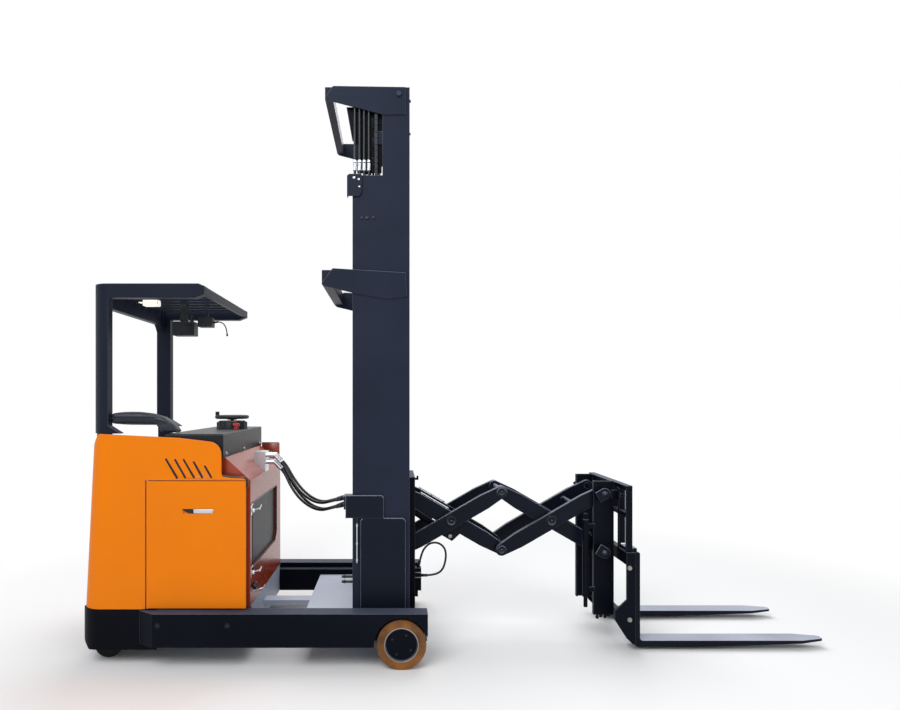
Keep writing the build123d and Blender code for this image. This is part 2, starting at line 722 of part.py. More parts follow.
def hose(route, radius):
    """A tube along straight runs joined by arcs, each as large as its runs allow."""
    points = [Vector(*point) for point in route]
    runs = [after - before for before, after in zip(points, points[1:])]
    bends = []
    for before, after in zip(runs, runs[1:]):
        half_turn = math.radians(before.get_angle(after)) / 2
        bends.append(0.45 * min(before.length, after.length) / math.tan(half_turn))
    path = FilletPolyline(*points, radius=bends)
    start = Plane(origin=points[0], z_dir=runs[0])
    tube = sweep(start * Circle(radius), path=path)
    section = math.pi * radius ** 2
    print("hose", round(path.length), "mm, bends from", round(min(bends)), "mm, fill",
          round(tube.volume / (section * path.length), 4))
    return tube


def fitting(inner, end, length, radius=FITTING_RADIUS):
    """A ferrule that carries on from a hose's last run, from its end point outwards."""
    way = Vector(*end) - Vector(*inner)
    return extrude(Plane(origin=Vector(*end), z_dir=way) * Circle(radius), amount=length)


# Mast

def channel_rail(x, span, z, plate):
    """A rail whose web is outboard and whose flanges reach inboard."""
    rail = block(x, span, z)
    return rail - block((x[0] + plate, x[1] - plate), (span[0] - 1, span[1] - plate), (z[0] - 1, z[1] + 1))


def beam_rail(x, span, z, plate):
    """A rail with its web in the middle and a channel on each side."""
    rail = block(x, span, z)
    middle = (span[0] + span[1]) / 2
    hollow = (x[0] + plate, x[1] - plate)
    for side in ((span[0] - 1, middle - plate / 2), (middle + plate / 2, span[1] + 1)):
        rail -= block(hollow, side, (z[0] - 1, z[1] + 1))
    return rail


def mast_outer():
    """Two channel rails with side plates, cross bars, hose brackets and upper rollers."""
    web = OUTER_SPAN[1] - RAIL_PLATE
    side = channel_rail((OUTER_REAR, RAIL_FRONT), OUTER_SPAN, OUTER_Z, RAIL_PLATE)
    side += block((WING_REAR, OUTER_REAR - FIT), (web, OUTER_SPAN[1]), (DECK_TOP, WING_TOP))
    bracket_y = (OUTER_SPAN[1] + FIT, OUTER_SPAN[1] + 10)
    for outline in (TOP_BRACKET, MIDDLE_BRACKET):
        side += side_plate(outline, bracket_y)
    roller_x = sum(MOVING_RAIL_X) / 2
    side += cross_shaft(roller_x, 3420, moving_channel_radius(), (320, MIDDLE_SPAN[1]))
    side += cross_shaft(roller_x, 3420, 20, (MIDDLE_SPAN[1] + FIT, web - FIT))
    mast = both(side)
    half = web - FIT
    for z in ((300, 380), (1500, 1580), (2500, 2580), (3150, 3230)):
        mast += block(OUTER_BAR_X, (-half, half), z)
        mast += both(block((OUTER_BAR_X[1] + FIT, OUTER_REAR - FIT), (web - 60, half), z))
    mast += block((-848, -800), (-OUTER_SPAN[1], OUTER_SPAN[1]), (3420, 3495))
    mast += block((-868, -806), (-OUTER_SPAN[1], OUTER_SPAN[1]), (2285, 2372))
    return mast + mast_foot()


def moving_channel_radius():
    """Rollers that run in the moving rails' channels."""
    return (MOVING_RAIL_X[1] - MOVING_RAIL_X[0]) / 2 - MOVING_PLATE - ROLLER_GAP


def mast_covers():
    """The lower cover and the hose bracket box on each side."""
    y = (OUTER_SPAN[1], OUTER_SPAN[1] + COVER_THICK)
    lower = side_plate([(-630, DECK_TOP, 0), (-630, 850, 25), (-352, 850, 25), (-352, DECK_TOP, 0)], y)
    upper = side_plate([(-721, 850, 0), (-721, 989, 8), (-486, 989, 20), (-486, 850, 0)], (y[0], y[1] + 2))
    covers = both(lower + upper) + block(*HOSE_BLOCK)
    for route in HOSE_ROUTES.values():
        covers += fitting(route[-2], route[-1], FITTING_LENGTH)
    return covers


def mast_lines():
    """Four lines and a leaf chain on the right side, and the pipe beside the lower cover."""
    plate = (OUTER_SPAN[1] - RAIL_PLATE, OUTER_SPAN[1])
    centre = sum(plate) / 2
    lines = Part()
    for x in LINE_X:
        lines += upright(x, -centre, LINE_RADIUS, (WING_TOP, LINE_BAR_Z[1]))
        lines += upright(x, -centre, LINE_RADIUS + 3, (WING_TOP + 30, WING_TOP + 75))
    lines += block((LINE_X[0] - 20, CHAIN_X + 20), (-plate[1], -plate[0] + 3), LINE_BAR_Z)
    lines += upright(CHAIN_X, -centre, 7, (LINE_BAR_Z[0] - 45, LINE_BAR_Z[1] + 12))
    links = int((LINE_BAR_Z[0] - 40 - WING_TOP) / CHAIN_PITCH)
    for index in range(links):
        low = WING_TOP + index * CHAIN_PITCH
        half = 5.0 if index % 2 else 7.5
        lines += block((CHAIN_X - 9, CHAIN_X + 9), (-centre - half, -centre + half), (low, low + CHAIN_PITCH))
    pipe_y = OUTER_SPAN[1] + 6.5
    lines += upright(-650, -pipe_y, 6, (583, 850))
    return lines


def mast_middle():
    """Two beam rails with rollers for the outer and inner rails, and the lift head."""
    rail = beam_rail(MOVING_RAIL_X, MIDDLE_SPAN, MOVING_RAIL_Z, MOVING_PLATE)
    roller_x = sum(MOVING_RAIL_X) / 2
    web = sum(MIDDLE_SPAN) / 2
    web_in, web_out = web - MOVING_PLATE / 2 - FIT, web + MOVING_PLATE / 2 + FIT
    outer_channel = (RAIL_FRONT - OUTER_REAR) / 2 - RAIL_PLATE - ROLLER_GAP
    outer_middle = (RAIL_FRONT + OUTER_REAR) / 2
    start = MIDDLE_SPAN[1] + 1
    rail += cross_shaft(outer_middle, 175, outer_channel, (start, OUTER_SPAN[1] - RAIL_PLATE - 1))
    rail += cross_shaft(outer_middle, 175, 22, (web_out, start - FIT))
    inner_face = INNER_SPAN[1] + 1
    rail += cross_shaft(roller_x, 3400, moving_channel_radius(), (INNER_SPAN[1] - 20, inner_face))
    rail += cross_shaft(roller_x, 3400, 20, (inner_face + FIT, web_in))
    arm = block((LIFT_X - 35, MIDDLE_BAR_X[0] - FIT), (MIDDLE_SPAN[0] + 25, LIFT_Y + 35), LIFT_HEAD_Z)
    mast = both(rail + arm)
    half = MIDDLE_SPAN[1]
    seat_x = (MIDDLE_BAR_X[1] - PASS + FIT, MIDDLE_BAR_X[1] - FIT)
    for z in ((400, 480), (1900, 1980), (3380, 3460)):
        mast += block((MIDDLE_BAR_X[0], MIDDLE_BAR_X[1] - PASS), (-half, half), z)
        mast += both(block(seat_x, (MIDDLE_SPAN[0], half), z))
    return mast


def mast_inner():
    rail = beam_rail(MOVING_RAIL_X, INNER_SPAN, MOVING_RAIL_Z, MOVING_PLATE)
    roller_x = sum(MOVING_RAIL_X) / 2
    start = INNER_SPAN[1] + 1
    web_out = sum(INNER_SPAN) / 2 + MOVING_PLATE / 2 + FIT
    rail += cross_shaft(roller_x, 175, moving_channel_radius(), (start, start + 30))
    rail += cross_shaft(roller_x, 175, 20, (web_out, start - FIT))
    mast = both(rail)
    half = INNER_SPAN[0] - FIT
    for z in ((MOVING_RAIL_Z[0] + 4.7, 150), (3400, 3480)):
        mast += block(INNER_BAR_X, (-half, half), z)
    return mast


def lift_barrels():
    barrel = upright(LIFT_X, LIFT_Y, LIFT_BARREL_RADIUS, (DECK_TOP, LIFT_BARREL_TOP))
    barrel += upright(LIFT_X, LIFT_Y, LIFT_BARREL_RADIUS + 1.5, (LIFT_BARREL_TOP - 60, LIFT_BARREL_TOP))
    return both(barrel - upright(LIFT_X, LIFT_Y, LIFT_ROD_RADIUS + FIT, (DECK_TOP + 30, LIFT_BARREL_TOP + 1)))


def lift_rods():
    return both(upright(LIFT_X, LIFT_Y, LIFT_ROD_RADIUS, (DECK_TOP + 40, LIFT_HEAD_Z[0])))


def free_lift_barrel():
    barrel = upright(FREE_X, 0, FREE_BARREL_RADIUS, (150, FREE_BARREL_TOP))
    barrel += block((INNER_BAR_X[0], FREE_X), (-60, 60), (150, 170))
    return barrel - upright(FREE_X, 0, FREE_ROD_RADIUS + FIT, (180, FREE_BARREL_TOP + 1))


def free_lift_rod():
    """The rod with the chain sheave that it carries."""
    rod = upright(FREE_X, 0, FREE_ROD_RADIUS, (190, FREE_BARREL_TOP + 40))
    fork = block((FREE_X - 30, FREE_X + 30), (-45, 45), (FREE_BARREL_TOP + 20, FREE_BARREL_TOP + 110))
    fork -= block((FREE_X - 31, FREE_X + 31), (-30, 30), (FREE_BARREL_TOP + 40, FREE_BARREL_TOP + 111))
    sheave = cross_shaft(FREE_X, FREE_BARREL_TOP + 85, 40, (-24, 24))
    return rod + fork + sheave + cross_shaft(FREE_X, FREE_BARREL_TOP + 85, 12, (-45, 45))


# Scissor

def arm_points():
    """The scissor's joints by name at rest: x, z."""
    reach = ARM_LENGTH * math.cos(math.radians(ARM_ANGLE))
    low = PIN_TOP_Z - ARM_LENGTH * math.sin(math.radians(ARM_ANGLE))
    return {
        "mast_top": (MAST_PIN_X, PIN_TOP_Z),
        "mast_low": (MAST_PIN_X, low),
        "middle_top": (MAST_PIN_X + reach, PIN_TOP_Z),
        "middle_low": (MAST_PIN_X + reach, low),
        "fork_top": (MAST_PIN_X + 2 * reach, PIN_TOP_Z),
        "fork_low": (MAST_PIN_X + 2 * reach, low),
    }


def arm_plate(start, end, y):
    """A tapered arm with round ends between two joints."""
    half = [(0, -ARM_END), (ARM_TAPER, -ARM_MIDDLE), (ARM_LENGTH - ARM_TAPER, -ARM_MIDDLE), (ARM_LENGTH, -ARM_END)]
    outline = half + [(along, -off) for along, off in reversed(half)]
    face = Polygon(*outline, align=None) + Circle(ARM_END) + Pos(ARM_LENGTH, 0) * Circle(ARM_END)
    turn = math.degrees(math.atan2(end[1] - start[1], end[0] - start[0]))
    placed = Pos(start[0], start[1]) * Rot(0, 0, turn) * face
    return side_face(placed, y)


def between(start, end):
    return ((start[0] + end[0]) / 2, (start[1] + end[1]) / 2)


def bored(shape, centre, radius):
    return shape - cross_shaft(centre[0], centre[1], radius, (-200, 200))


def end_roller(centre, inner):
    """The roller on an outer arm end and the pin that carries it."""
    roller = cross_shaft(centre[0], centre[1], SCISSOR_ROLLER, (OUTER_ARM[1] + 2, OUTER_ARM[1] + 16))
    return roller + cross_shaft(centre[0], centre[1], ARM_PIN, (inner + FIT, OUTER_ARM[1] + 2 - FIT))


def arm_mast_outer(joints):
    """Roller end low in the reach carriage, rising to the upper middle joint."""
    start, end = joints["mast_low"], joints["middle_top"]
    side = arm_plate(start, end, OUTER_ARM)
    side += end_roller(start, OUTER_ARM[1])
    side += cross_shaft(end[0], end[1], PIN_HEAD, (OUTER_ARM[1] + FIT, OUTER_ARM[1] + 6))
    arm = both(side)
    for centre in (between(start, end), end):
        arm += cross_shaft(centre[0], centre[1], ARM_PIN, (-OUTER_ARM[0] + FIT, OUTER_ARM[0] - FIT))
    return arm


def arm_mast_inner(joints):
    """Pinned high in the reach carriage, falling to the lower middle joint, with the cylinder lug."""
    start, end = joints["mast_top"], joints["middle_low"]
    turn = math.atan2(end[1] - start[1], end[0] - start[0])
    side = arm_plate(start, end, INNER_ARM)
    lug = Polygon((300, -40), (340, -117), (456, -117), (480, -40), align=None)
    placed = Pos(start[0], start[1]) * Rot(0, 0, math.degrees(turn)) * lug
    side += side_face(placed, INNER_ARM)
    for centre in (start, between(start, end), end):
        side = bored(side, centre, ARM_PIN + FIT)
    pin = lug_pin(joints)
    side += cross_shaft(pin[0], pin[1], REACH_PIN, (REACH_Y - 28, INNER_ARM[0] - FIT))
    side += cross_shaft(end[0], end[1], PIN_HEAD, (OUTER_ARM[1] + SEAT, OUTER_ARM[1] + 6))
    return both(side) + cross_shaft(end[0], end[1], ARM_PIN, (-OUTER_ARM[1], OUTER_ARM[1]))


def lug_pin(joints):
    start, end = joints["mast_top"], joints["middle_low"]
    turn = math.atan2(end[1] - start[1], end[0] - start[0])
    x = start[0] + LUG_ALONG * math.cos(turn) + LUG_BELOW * math.sin(turn)
    z = start[1] + LUG_ALONG * math.sin(turn) - LUG_BELOW * math.cos(turn)
    return (x, z)


def arm_fork_inner(joints):
    """From the upper middle joint down to the roller in the fork carriage."""
    start, end = joints["middle_top"], joints["fork_low"]
    middle = between(start, end)
    side = bored(arm_plate(start, end, INNER_ARM), start, ARM_PIN + OPEN_PIVOT_GAP)
    side = bored(side, middle, ARM_PIN + FIT) + end_roller(end, INNER_ARM[1])
    return both(side) + cross_shaft(middle[0], middle[1], ARM_PIN, (-OUTER_ARM[1], OUTER_ARM[1]))


def arm_fork_outer(joints):
    """From the lower middle joint up to the pin in the fork carriage."""
    start, end = joints["middle_low"], joints["fork_top"]
    side = arm_plate(start, end, OUTER_ARM)
    for centre in (start, between(start, end), end):
        side = bored(side, centre, ARM_PIN + FIT)
    tube = between(between(start, end), end)
    half = OUTER_ARM[0] - FIT
    return both(side) + cross_shaft(tube[0], tube[1], ARM_PIN - 2, (-half, half))


def scissor_channel(pin_x, z, web_x):
    """A side plate with the two walls that guide an arm's roller."""
    inside = WEB_OUT - WEB_THICK
    side = block(web_x, (inside, WEB_OUT), z)
    half = SCISSOR_ROLLER + ROLLER_GAP
    for low in (pin_x - half - CHANNEL_WALL, pin_x + half):
        side += block((low, low + CHANNEL_WALL), (inside - CHANNEL_DEPTH, inside - FIT), z)
    return side


def reach_carriage(joints):
    inside = WEB_OUT - WEB_THICK - FIT
    side = scissor_channel(MAST_PIN_X, CARRIAGE_Z, (-478, -287))
    top = joints["mast_top"]
    side += cross_shaft(top[0], top[1], ARM_PIN, (INNER_ARM[0] - 2, inside))
    side += cross_shaft(REACH_ANCHOR[0], REACH_ANCHOR[1], REACH_PIN, (REACH_Y - 28, inside))
    roller_x = sum(MOVING_RAIL_X) / 2
    rail_web = sum(INNER_SPAN) / 2 - MOVING_PLATE / 2
    for z in (260, 1000):
        side += cross_shaft(roller_x, z, moving_channel_radius(), (WEB_OUT + FIT, rail_web - 1))
    half = inside - CHANNEL_DEPTH
    cross = (FREE_X + 65, -287)
    carriage = both(side) + block(cross, (-half, half), (CARRIAGE_Z[1] - 36, CARRIAGE_Z[1]))
    return carriage + block(cross, (-half, half), (CARRIAGE_Z[0], CARRIAGE_FOOT))


def valve_block():
    """The reach valve, which stands on the carriage's bottom cross plate."""
    y = (VALVE_HOSE[0][1] - 30, VALVE_HOSE[0][1] + 30)
    body = block(VALVE_X, y, (290, VALVE_TOP))
    body += block((VALVE_X[0], -262), y, (250, 290))
    body += block((VALVE_X[0] - PLATE, VALVE_X[0]), y, (CARRIAGE_FOOT, 400))
    first, last = VALVE_HOSE[0], VALVE_HOSE[-1]
    body += fitting(VALVE_HOSE[1], first, first[0] - VALVE_X[1] + 1, VALVE_HOSE_RADIUS + 3)
    return body + fitting(VALVE_HOSE[-2], last, last[2] - VALVE_TOP + 6, VALVE_HOSE_RADIUS + 3)


def reach_frame(joints):
    """The reach cylinders' direction and length at rest."""
    pin = lug_pin(joints)
    dx, dz = pin[0] - REACH_ANCHOR[0], pin[1] - REACH_ANCHOR[1]
    return math.degrees(math.atan2(dz, dx)), math.hypot(dx, dz)


def along_cylinder(shape, joints):
    turn, _ = reach_frame(joints)
    return Pos(REACH_ANCHOR[0], 0, REACH_ANCHOR[1]) * Rot(0, -turn, 0) * shape


def reach_barrels(joints):
    y = (REACH_Y - REACH_BARREL, REACH_Y + REACH_BARREL)
    barrel = Pos(0, REACH_Y, 0) * Rot(90, 0, 0) * Cylinder(26, y[1] - y[0])
    barrel += lengthways(REACH_Y, 0, REACH_BARREL, (15, 330))
    barrel -= Pos(0, REACH_Y, 0) * Rot(90, 0, 0) * Cylinder(REACH_PIN + FIT, 80)
    barrel -= lengthways(REACH_Y, 0, REACH_ROD + FIT, (60, 331))
    return along_cylinder(both(barrel), joints)


def reach_rods(joints):
    _, length = reach_frame(joints)
    rod = lengthways(REACH_Y, 0, REACH_ROD, (140, length - 24))
    rod += Pos(length, REACH_Y, 0) * Rot(90, 0, 0) * Cylinder(30, 36)
    rod -= Pos(length, REACH_Y, 0) * Rot(90, 0, 0) * Cylinder(REACH_PIN + 7, 80)
    return along_cylinder(both(rod), joints)


# Fork end

def fork_carriage(joints):
    inside = WEB_OUT - WEB_THICK - FIT
    top = joints["fork_top"]
    front = top[0] + 66
    side = scissor_channel(top[0], FORK_CHANNEL_Z, (top[0] - 66, front))
    side += cross_shaft(top[0], top[1], ARM_PIN, (OUTER_ARM[0] - 2, inside))
    ear = (TILT_PIN_Z - 30, TILT_PIN_Z + 30)
    side += block((front - 16, TILT_PIN_X + 18), (WEB_OUT + FIT, WEB_OUT + 14), ear)
    side += cross_shaft(TILT_PIN_X, TILT_PIN_Z, 14, (WEB_OUT + 14 + FIT, WEB_OUT + 44))
    half = inside - CHANNEL_DEPTH
    carriage = both(side)
    for z in ((FORK_CHANNEL_Z[1] - 36, FORK_CHANNEL_Z[1]), (FORK_CHANNEL_Z[0], FORK_CHANNEL_Z[0] + 20)):
        carriage += block((front - 16, front), (-half, half), z)
    return carriage + side_cylinder(top[0] - 122, top[0] - 60)


def side_cylinder(x, clamp_end):
    """The upright tilt cylinder clamped to the fork carriage's right side plate."""
    y = -WEB_OUT - 13
    tube = upright(x, y, 20, (300, 800)) + upright(x, y, 13, (234, 839))
    for z in (330, 740):
        tube += block((x, clamp_end), (-WEB_OUT - 8, -WEB_OUT - FIT), (z, z + 30))
    return tube


def fork_frame():
    """Two bars, their end cheeks and the posts that hang on the tilt pins."""
    x = (FRAME_REAR, FRAME_REAR + FRAME_THICK)
    frame = block(x, (-FRAME_HALF, FRAME_HALF), UPPER_BAR_Z)
    frame += block(x, (-FRAME_HALF, FRAME_HALF), LOWER_BAR_Z)
    cheek = sharp([
        (FRAME_REAR, UPPER_BAR_Z[1]),
        (FRAME_REAR + 56, UPPER_BAR_Z[1]),
        (FRAME_REAR + 56, 60),
        (FRAME_REAR + 40, 50),
        (FRAME_REAR, 90),
        (950, 205),
        (950, 260),
        (FRAME_REAR, 330),
    ])
    frame += both(side_plate(cheek, (FRAME_HALF + FIT, FRAME_HALF + 12)))
    post = block((FRAME_REAR, FRAME_REAR + 13), TILT_POST, (UPPER_BAR_Z[1] + FIT, UPPER_BAR_Z[1] + 40))
    post += block(x, TILT_POST, (UPPER_BAR_Z[1] + 30, BACKREST_Z[1] - 30 - FIT))
    post -= cross_shaft(TILT_PIN_X, TILT_PIN_Z, 14 + FIT, (WEB_OUT, WEB_OUT + 60))
    return frame + both(post)


def load_backrest():
    """A top rail and bottom rails between the posts, with upright bars."""
    x = (FRAME_REAR, FRAME_REAR + FRAME_THICK)
    foot, top = BACKREST_Z
    rail = top - 30
    rest = block(x, (-FRAME_HALF, FRAME_HALF), (rail, top))
    inner, outer = TILT_POST[0] - FIT, TILT_POST[1] + FIT
    rest += block(x, (-inner, inner), (foot, foot + 30))
    for y in BACKREST_BARS:
        rest += block(x, (y - 6, y + 6), (foot + 30 + FIT, rail - FIT))
    side = block(x, (FRAME_HALF - 12, FRAME_HALF), (UPPER_BAR_Z[1], rail - FIT))
    return rest + both(side + block(x, (outer, FRAME_HALF - 12 - FIT), (foot, foot + 30)))


def fork():
    """An L-shaped fork hooked on the two bars, its blade thinning to the tip."""
    y = (FORK_Y - FORK_WIDTH / 2, FORK_Y + FORK_WIDTH / 2)
    front = FRAME_REAR + FRAME_THICK + SEAT
    shank = front + 19
    profile = [
        (shank, UPPER_BAR_Z[1], 4),
        (shank + FORK_THICK, UPPER_BAR_Z[1] - 10, 10),
        (shank + FORK_THICK, FORK_BOTTOM + FORK_THICK, 20),
        (FORK_TIP, FORK_BOTTOM + FORK_THICK, 3),
        (FORK_TIP, FORK_BOTTOM + FORK_THICK - 14, 3),
        (shank + 450, FORK_BOTTOM, 0),
        (shank, FORK_BOTTOM, 35),
    ]
    blank = side_plate(profile, y)
    tip = [
        (0, y[0] - 1, 0),
        (0, y[1] + 1, 0),
        (FORK_TIP - 160, y[1] + 1, 0),
        (FORK_TIP, y[1] - 36, 25),
        (FORK_TIP, y[0] + 36, 25),
        (FORK_TIP - 160, y[0] - 1, 0),
    ]
    blank = blank & plan_plate(tip, (0, 700))
    hooks = Part()
    upper, lower = UPPER_BAR_Z, LOWER_BAR_Z
    for bar in (upper, lower):
        hooks += block((front, shank + 2), y, (bar[0] + 10, bar[1] - 10))
    hooks += block((FRAME_REAR + 19, shank + 2), y, (upper[1] + SEAT, upper[1] + 18))
    hooks += block((front, shank + 20), y, (upper[1] - 30, upper[1] + 18))
    hooks += block((FRAME_REAR + 19, shank + 2), y, (lower[0] - 18, lower[0] - SEAT))
    return blank + hooks


# Drive unit and caster

def drive_mount():
    """The ring plate that carries the drive unit inside the cabinet."""
    x = (CABINET_REAR + PLATE, BULKHEAD_X - PLATE)
    y = (ENTRY_LEFT + PLATE, CABINET_LEFT - PLATE)
    plate = block(x, y, (400, 416))
    return plate - upright(DRIVE_X, DRIVE_Y, 100, (399, 417))


def drive_unit():
    """Motor, steered turntable and the gear case beside the wheel."""
    unit = upright(DRIVE_X, DRIVE_Y, 130, (416 + SEAT, 436))
    unit += upright(DRIVE_X, DRIVE_Y, 99, (380, 436))
    unit += upright(DRIVE_X, DRIVE_Y, 85, (436, 760))
    unit += upright(DRIVE_X, DRIVE_Y, 92, (760, 790))
    case_y = (DRIVE_Y + DRIVE_WIDTH / 2 + 8, DRIVE_Y + DRIVE_WIDTH / 2 + 40)
    unit += upright(DRIVE_X, DRIVE_Y, 110, (362, 384))
    unit += block((DRIVE_X - 60, DRIVE_X + 60), case_y, (DRIVE_RADIUS - 10, 384))
    unit += cross_shaft(DRIVE_X, DRIVE_RADIUS, 60, case_y)
    return unit + cross_shaft(DRIVE_X, DRIVE_RADIUS, 25, (DRIVE_Y - 50, case_y[0]))


def drive_tyre():
    y = (DRIVE_Y - DRIVE_WIDTH / 2, DRIVE_Y + DRIVE_WIDTH / 2)
    tyre = cross_shaft(DRIVE_X, DRIVE_RADIUS, DRIVE_RADIUS, y)
    tyre = chamfer(tyre.edges().filter_by(GeomType.CIRCLE), 6)
    return tyre - cross_shaft(DRIVE_X, DRIVE_RADIUS, DRIVE_RIM_RADIUS, (y[0] - 1, y[1] + 1))


def drive_hub():
    y = (DRIVE_Y - DRIVE_WIDTH / 2 + 4, DRIVE_Y + DRIVE_WIDTH / 2 - 4)
    hub = cross_shaft(DRIVE_X, DRIVE_RADIUS, DRIVE_RIM_RADIUS - SEAT, y)
    for side in ((y[0] - 1, y[0] + 30), (y[1] - 30, y[1] + 1)):
        dish = cross_shaft(DRIVE_X, DRIVE_RADIUS, DRIVE_RIM_RADIUS - 14, side)
        hub -= dish - cross_shaft(DRIVE_X, DRIVE_RADIUS, 45, side)
    return hub - cross_shaft(DRIVE_X, DRIVE_RADIUS, 25 + FIT, (y[0] - 1, y[1] + 1))


def caster_bracket():
    """The swivel plate under the floor and the single leg between the two wheels."""
    top = DECK_TOP - PLATE
    bracket = upright(CASTER_X, CASTER_Y, 45, (top - 30, top - SEAT))
    outline = sharp([
        (CASTER_X - 40, top - 28),
        (CASTER_X + 40, top - 28),
        (CASTER_X + 5, CASTER_RADIUS - 20),
        (CASTER_X - CASTER_TRAIL - 20, CASTER_RADIUS - 20),
    ])
    bracket += side_plate(outline, (CASTER_Y - CASTER_GAP / 2 + 3, CASTER_Y + CASTER_GAP / 2 - 3))
    half = CASTER_GAP / 2 + CASTER_WHEEL_WIDTH
    axle = cross_shaft(CASTER_X - CASTER_TRAIL, CASTER_RADIUS, 10, (CASTER_Y - half + 5, CASTER_Y + half - 5))
    return bracket + axle


def caster_wheels():
    x = CASTER_X - CASTER_TRAIL
    half = CASTER_GAP / 2
    wheels = Part()
    for low in (CASTER_Y - half - CASTER_WHEEL_WIDTH, CASTER_Y + half):
        y = (low, low + CASTER_WHEEL_WIDTH)
        wheel = cross_shaft(x, CASTER_RADIUS, CASTER_RADIUS, y)
        wheel = fillet(wheel.edges().filter_by(GeomType.CIRCLE), 8)
        wheels += wheel - cross_shaft(x, CASTER_RADIUS, 10 + FIT, (y[0] - 1, y[1] + 1))
    return wheels


def main():
    shell = body_shell()
    joints = arm_points()
    nodes = {
        "leg_left": leg(),
        "leg_right": right_of(leg()),
        "load_tyre_left": load_tyre(),
        "load_tyre_right": right_of(load_tyre()),
        "load_hub_left": load_hub(),
        "load_hub_right": right_of(load_hub()),
        "chassis_frame": chassis_frame(),
        "rear_skirt": rear_skirt(),
        "operator_floor": operator_floor(),
        "drive_cabinet": drive_cabinet(),
        "side_panel_left": side_panel_left(shell),
        "side_panel_right": side_panel_right(shell),
        "side_door": side_door(),
        "door_pins": door_pins(),
        "door_latch": door_latch(),
        "battery_hood": battery_hood(),
        "battery_cover": battery_cover(),
        "battery": battery(),
        "hydraulic_manifold": manifold(),
        "control_console": console(),
        "steering_column": steering_column(),
        "steering_wheel": steering_wheel(),
        "emergency_button": emergency_button(),
        "lean_pad": lean_pad(),
        "overhead_guard": overhead_guard(),
        "mast_outer": mast_outer(),
        "mast_covers": mast_covers(),
        "mast_lines": mast_lines(),
        "guard_fittings": guard_fittings(),
        "guard_lead": hose(GUARD_LEAD, LEAD_RADIUS),
        "hose_valve": hose(VALVE_HOSE, VALVE_HOSE_RADIUS),
        "mast_middle": mast_middle(),
        "mast_inner": mast_inner(),
        "lift_barrels": lift_barrels(),
        "lift_rods": lift_rods(),
        "free_lift_barrel": free_lift_barrel(),
        "free_lift_rod": free_lift_rod(),
        "reach_carriage": reach_carriage(joints),
        "reach_valve": valve_block(),
        "arm_mast_outer": arm_mast_outer(joints),
        "arm_mast_inner": arm_mast_inner(joints),
        "arm_fork_inner": arm_fork_inner(joints),
        "arm_fork_outer": arm_fork_outer(joints),
        "reach_barrels": reach_barrels(joints),
        "reach_rods": reach_rods(joints),
        "fork_carriage": fork_carriage(joints),
        "fork_frame": fork_frame(),
        "load_backrest": load_backrest(),
        "fork_left": fork(),
        "fork_right": right_of(fork()),
        "drive_mount": drive_mount(),
        "drive_unit": drive_unit(),
        "drive_tyre": drive_tyre(),
        "drive_hub": drive_hub(),
        "caster_bracket": caster_bracket(),
        "caster_wheels": caster_wheels(),
    }
    for name, route in HOSE_ROUTES.items():
        nodes[name] = hose(route, HOSE_RADIUS)
    for name, shape in nodes.items():
        save(name, shape)


main()
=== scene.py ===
# %% [markdown]
# # The looks of a reach truck
#
# The truck's solids come packed as a fixed frame, in metres, with +X towards the fork tips,
# +Y to the truck's left and +Z up. This lesson adds the camera and hoses first, then one
# finish for each real material, then the pieces that solids leave out: the padded rail,
# fasteners, latches, seals and lenses. A solid is never moved. It only gets a better finish.

# %% Load the frame
import math
import bmesh
import bpy
from mathutils import Matrix, Vector


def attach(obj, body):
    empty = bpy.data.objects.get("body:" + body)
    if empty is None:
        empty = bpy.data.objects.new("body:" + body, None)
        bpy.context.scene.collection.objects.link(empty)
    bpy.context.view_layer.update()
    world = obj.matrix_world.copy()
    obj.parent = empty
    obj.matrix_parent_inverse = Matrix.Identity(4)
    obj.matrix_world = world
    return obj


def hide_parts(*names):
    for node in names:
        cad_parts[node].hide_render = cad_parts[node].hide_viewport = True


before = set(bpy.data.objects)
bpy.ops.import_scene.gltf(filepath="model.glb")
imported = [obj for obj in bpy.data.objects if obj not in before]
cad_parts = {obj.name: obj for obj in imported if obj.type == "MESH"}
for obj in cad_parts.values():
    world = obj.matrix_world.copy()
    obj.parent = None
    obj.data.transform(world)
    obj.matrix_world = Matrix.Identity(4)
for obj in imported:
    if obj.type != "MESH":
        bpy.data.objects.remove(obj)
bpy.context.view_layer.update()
MM = 0.001

# %% [markdown]
# ## Camera
#
# The photograph looks straight at the truck's right side from about eye height, with a wide
# lens. The picture is cropped off its optical middle, so the camera stays level and its shift
# does the framing. Turning it instead would make the mast lean.

# %% Level camera beside the mast
LENS_MM = 25.1
SENSOR_MM = 36.0
SHIFT = (0.0633, 0.05)  # sideways and up, as shares of the picture's width
EYE = (-0.430, -4.285, 1.573)  # metres
camera_data = bpy.data.cameras.new("side_camera")
camera_data.lens = LENS_MM
camera_data.sensor_width = SENSOR_MM
camera_data.shift_x, camera_data.shift_y = SHIFT
camera = bpy.data.objects.new("side_camera", camera_data)
camera.location = EYE
camera.rotation_euler = (math.radians(90), 0, 0)
bpy.context.scene.collection.objects.link(camera)
bpy.context.scene.camera = camera
print("camera:", tuple(round(v, 3) for v in camera.location))

# %% [markdown]
# ## Colour and nodes
#
# Paint charts and photographs give sRGB colours, and shaders want linear ones. One function
# turns a hex value to linear, and one adds a node with its settings and its links, so that
# each material below reads as a short list of what the surface does. Pattern sizes are given
# in real millimetres, and a texture's scale is how many of them fit in a metre.

# %% One function for colour, one for pattern size, one for nodes
def linear(hex_colour):
    """An sRGB hex colour as linear RGBA."""
    channels = [int(hex_colour[i:i + 2], 16) / 255 for i in (1, 3, 5)]
    bent = [c / 12.92 if c <= 0.04045 else ((c + 0.055) / 1.055) ** 2.4 for c in channels]
    return (*bent, 1.0)


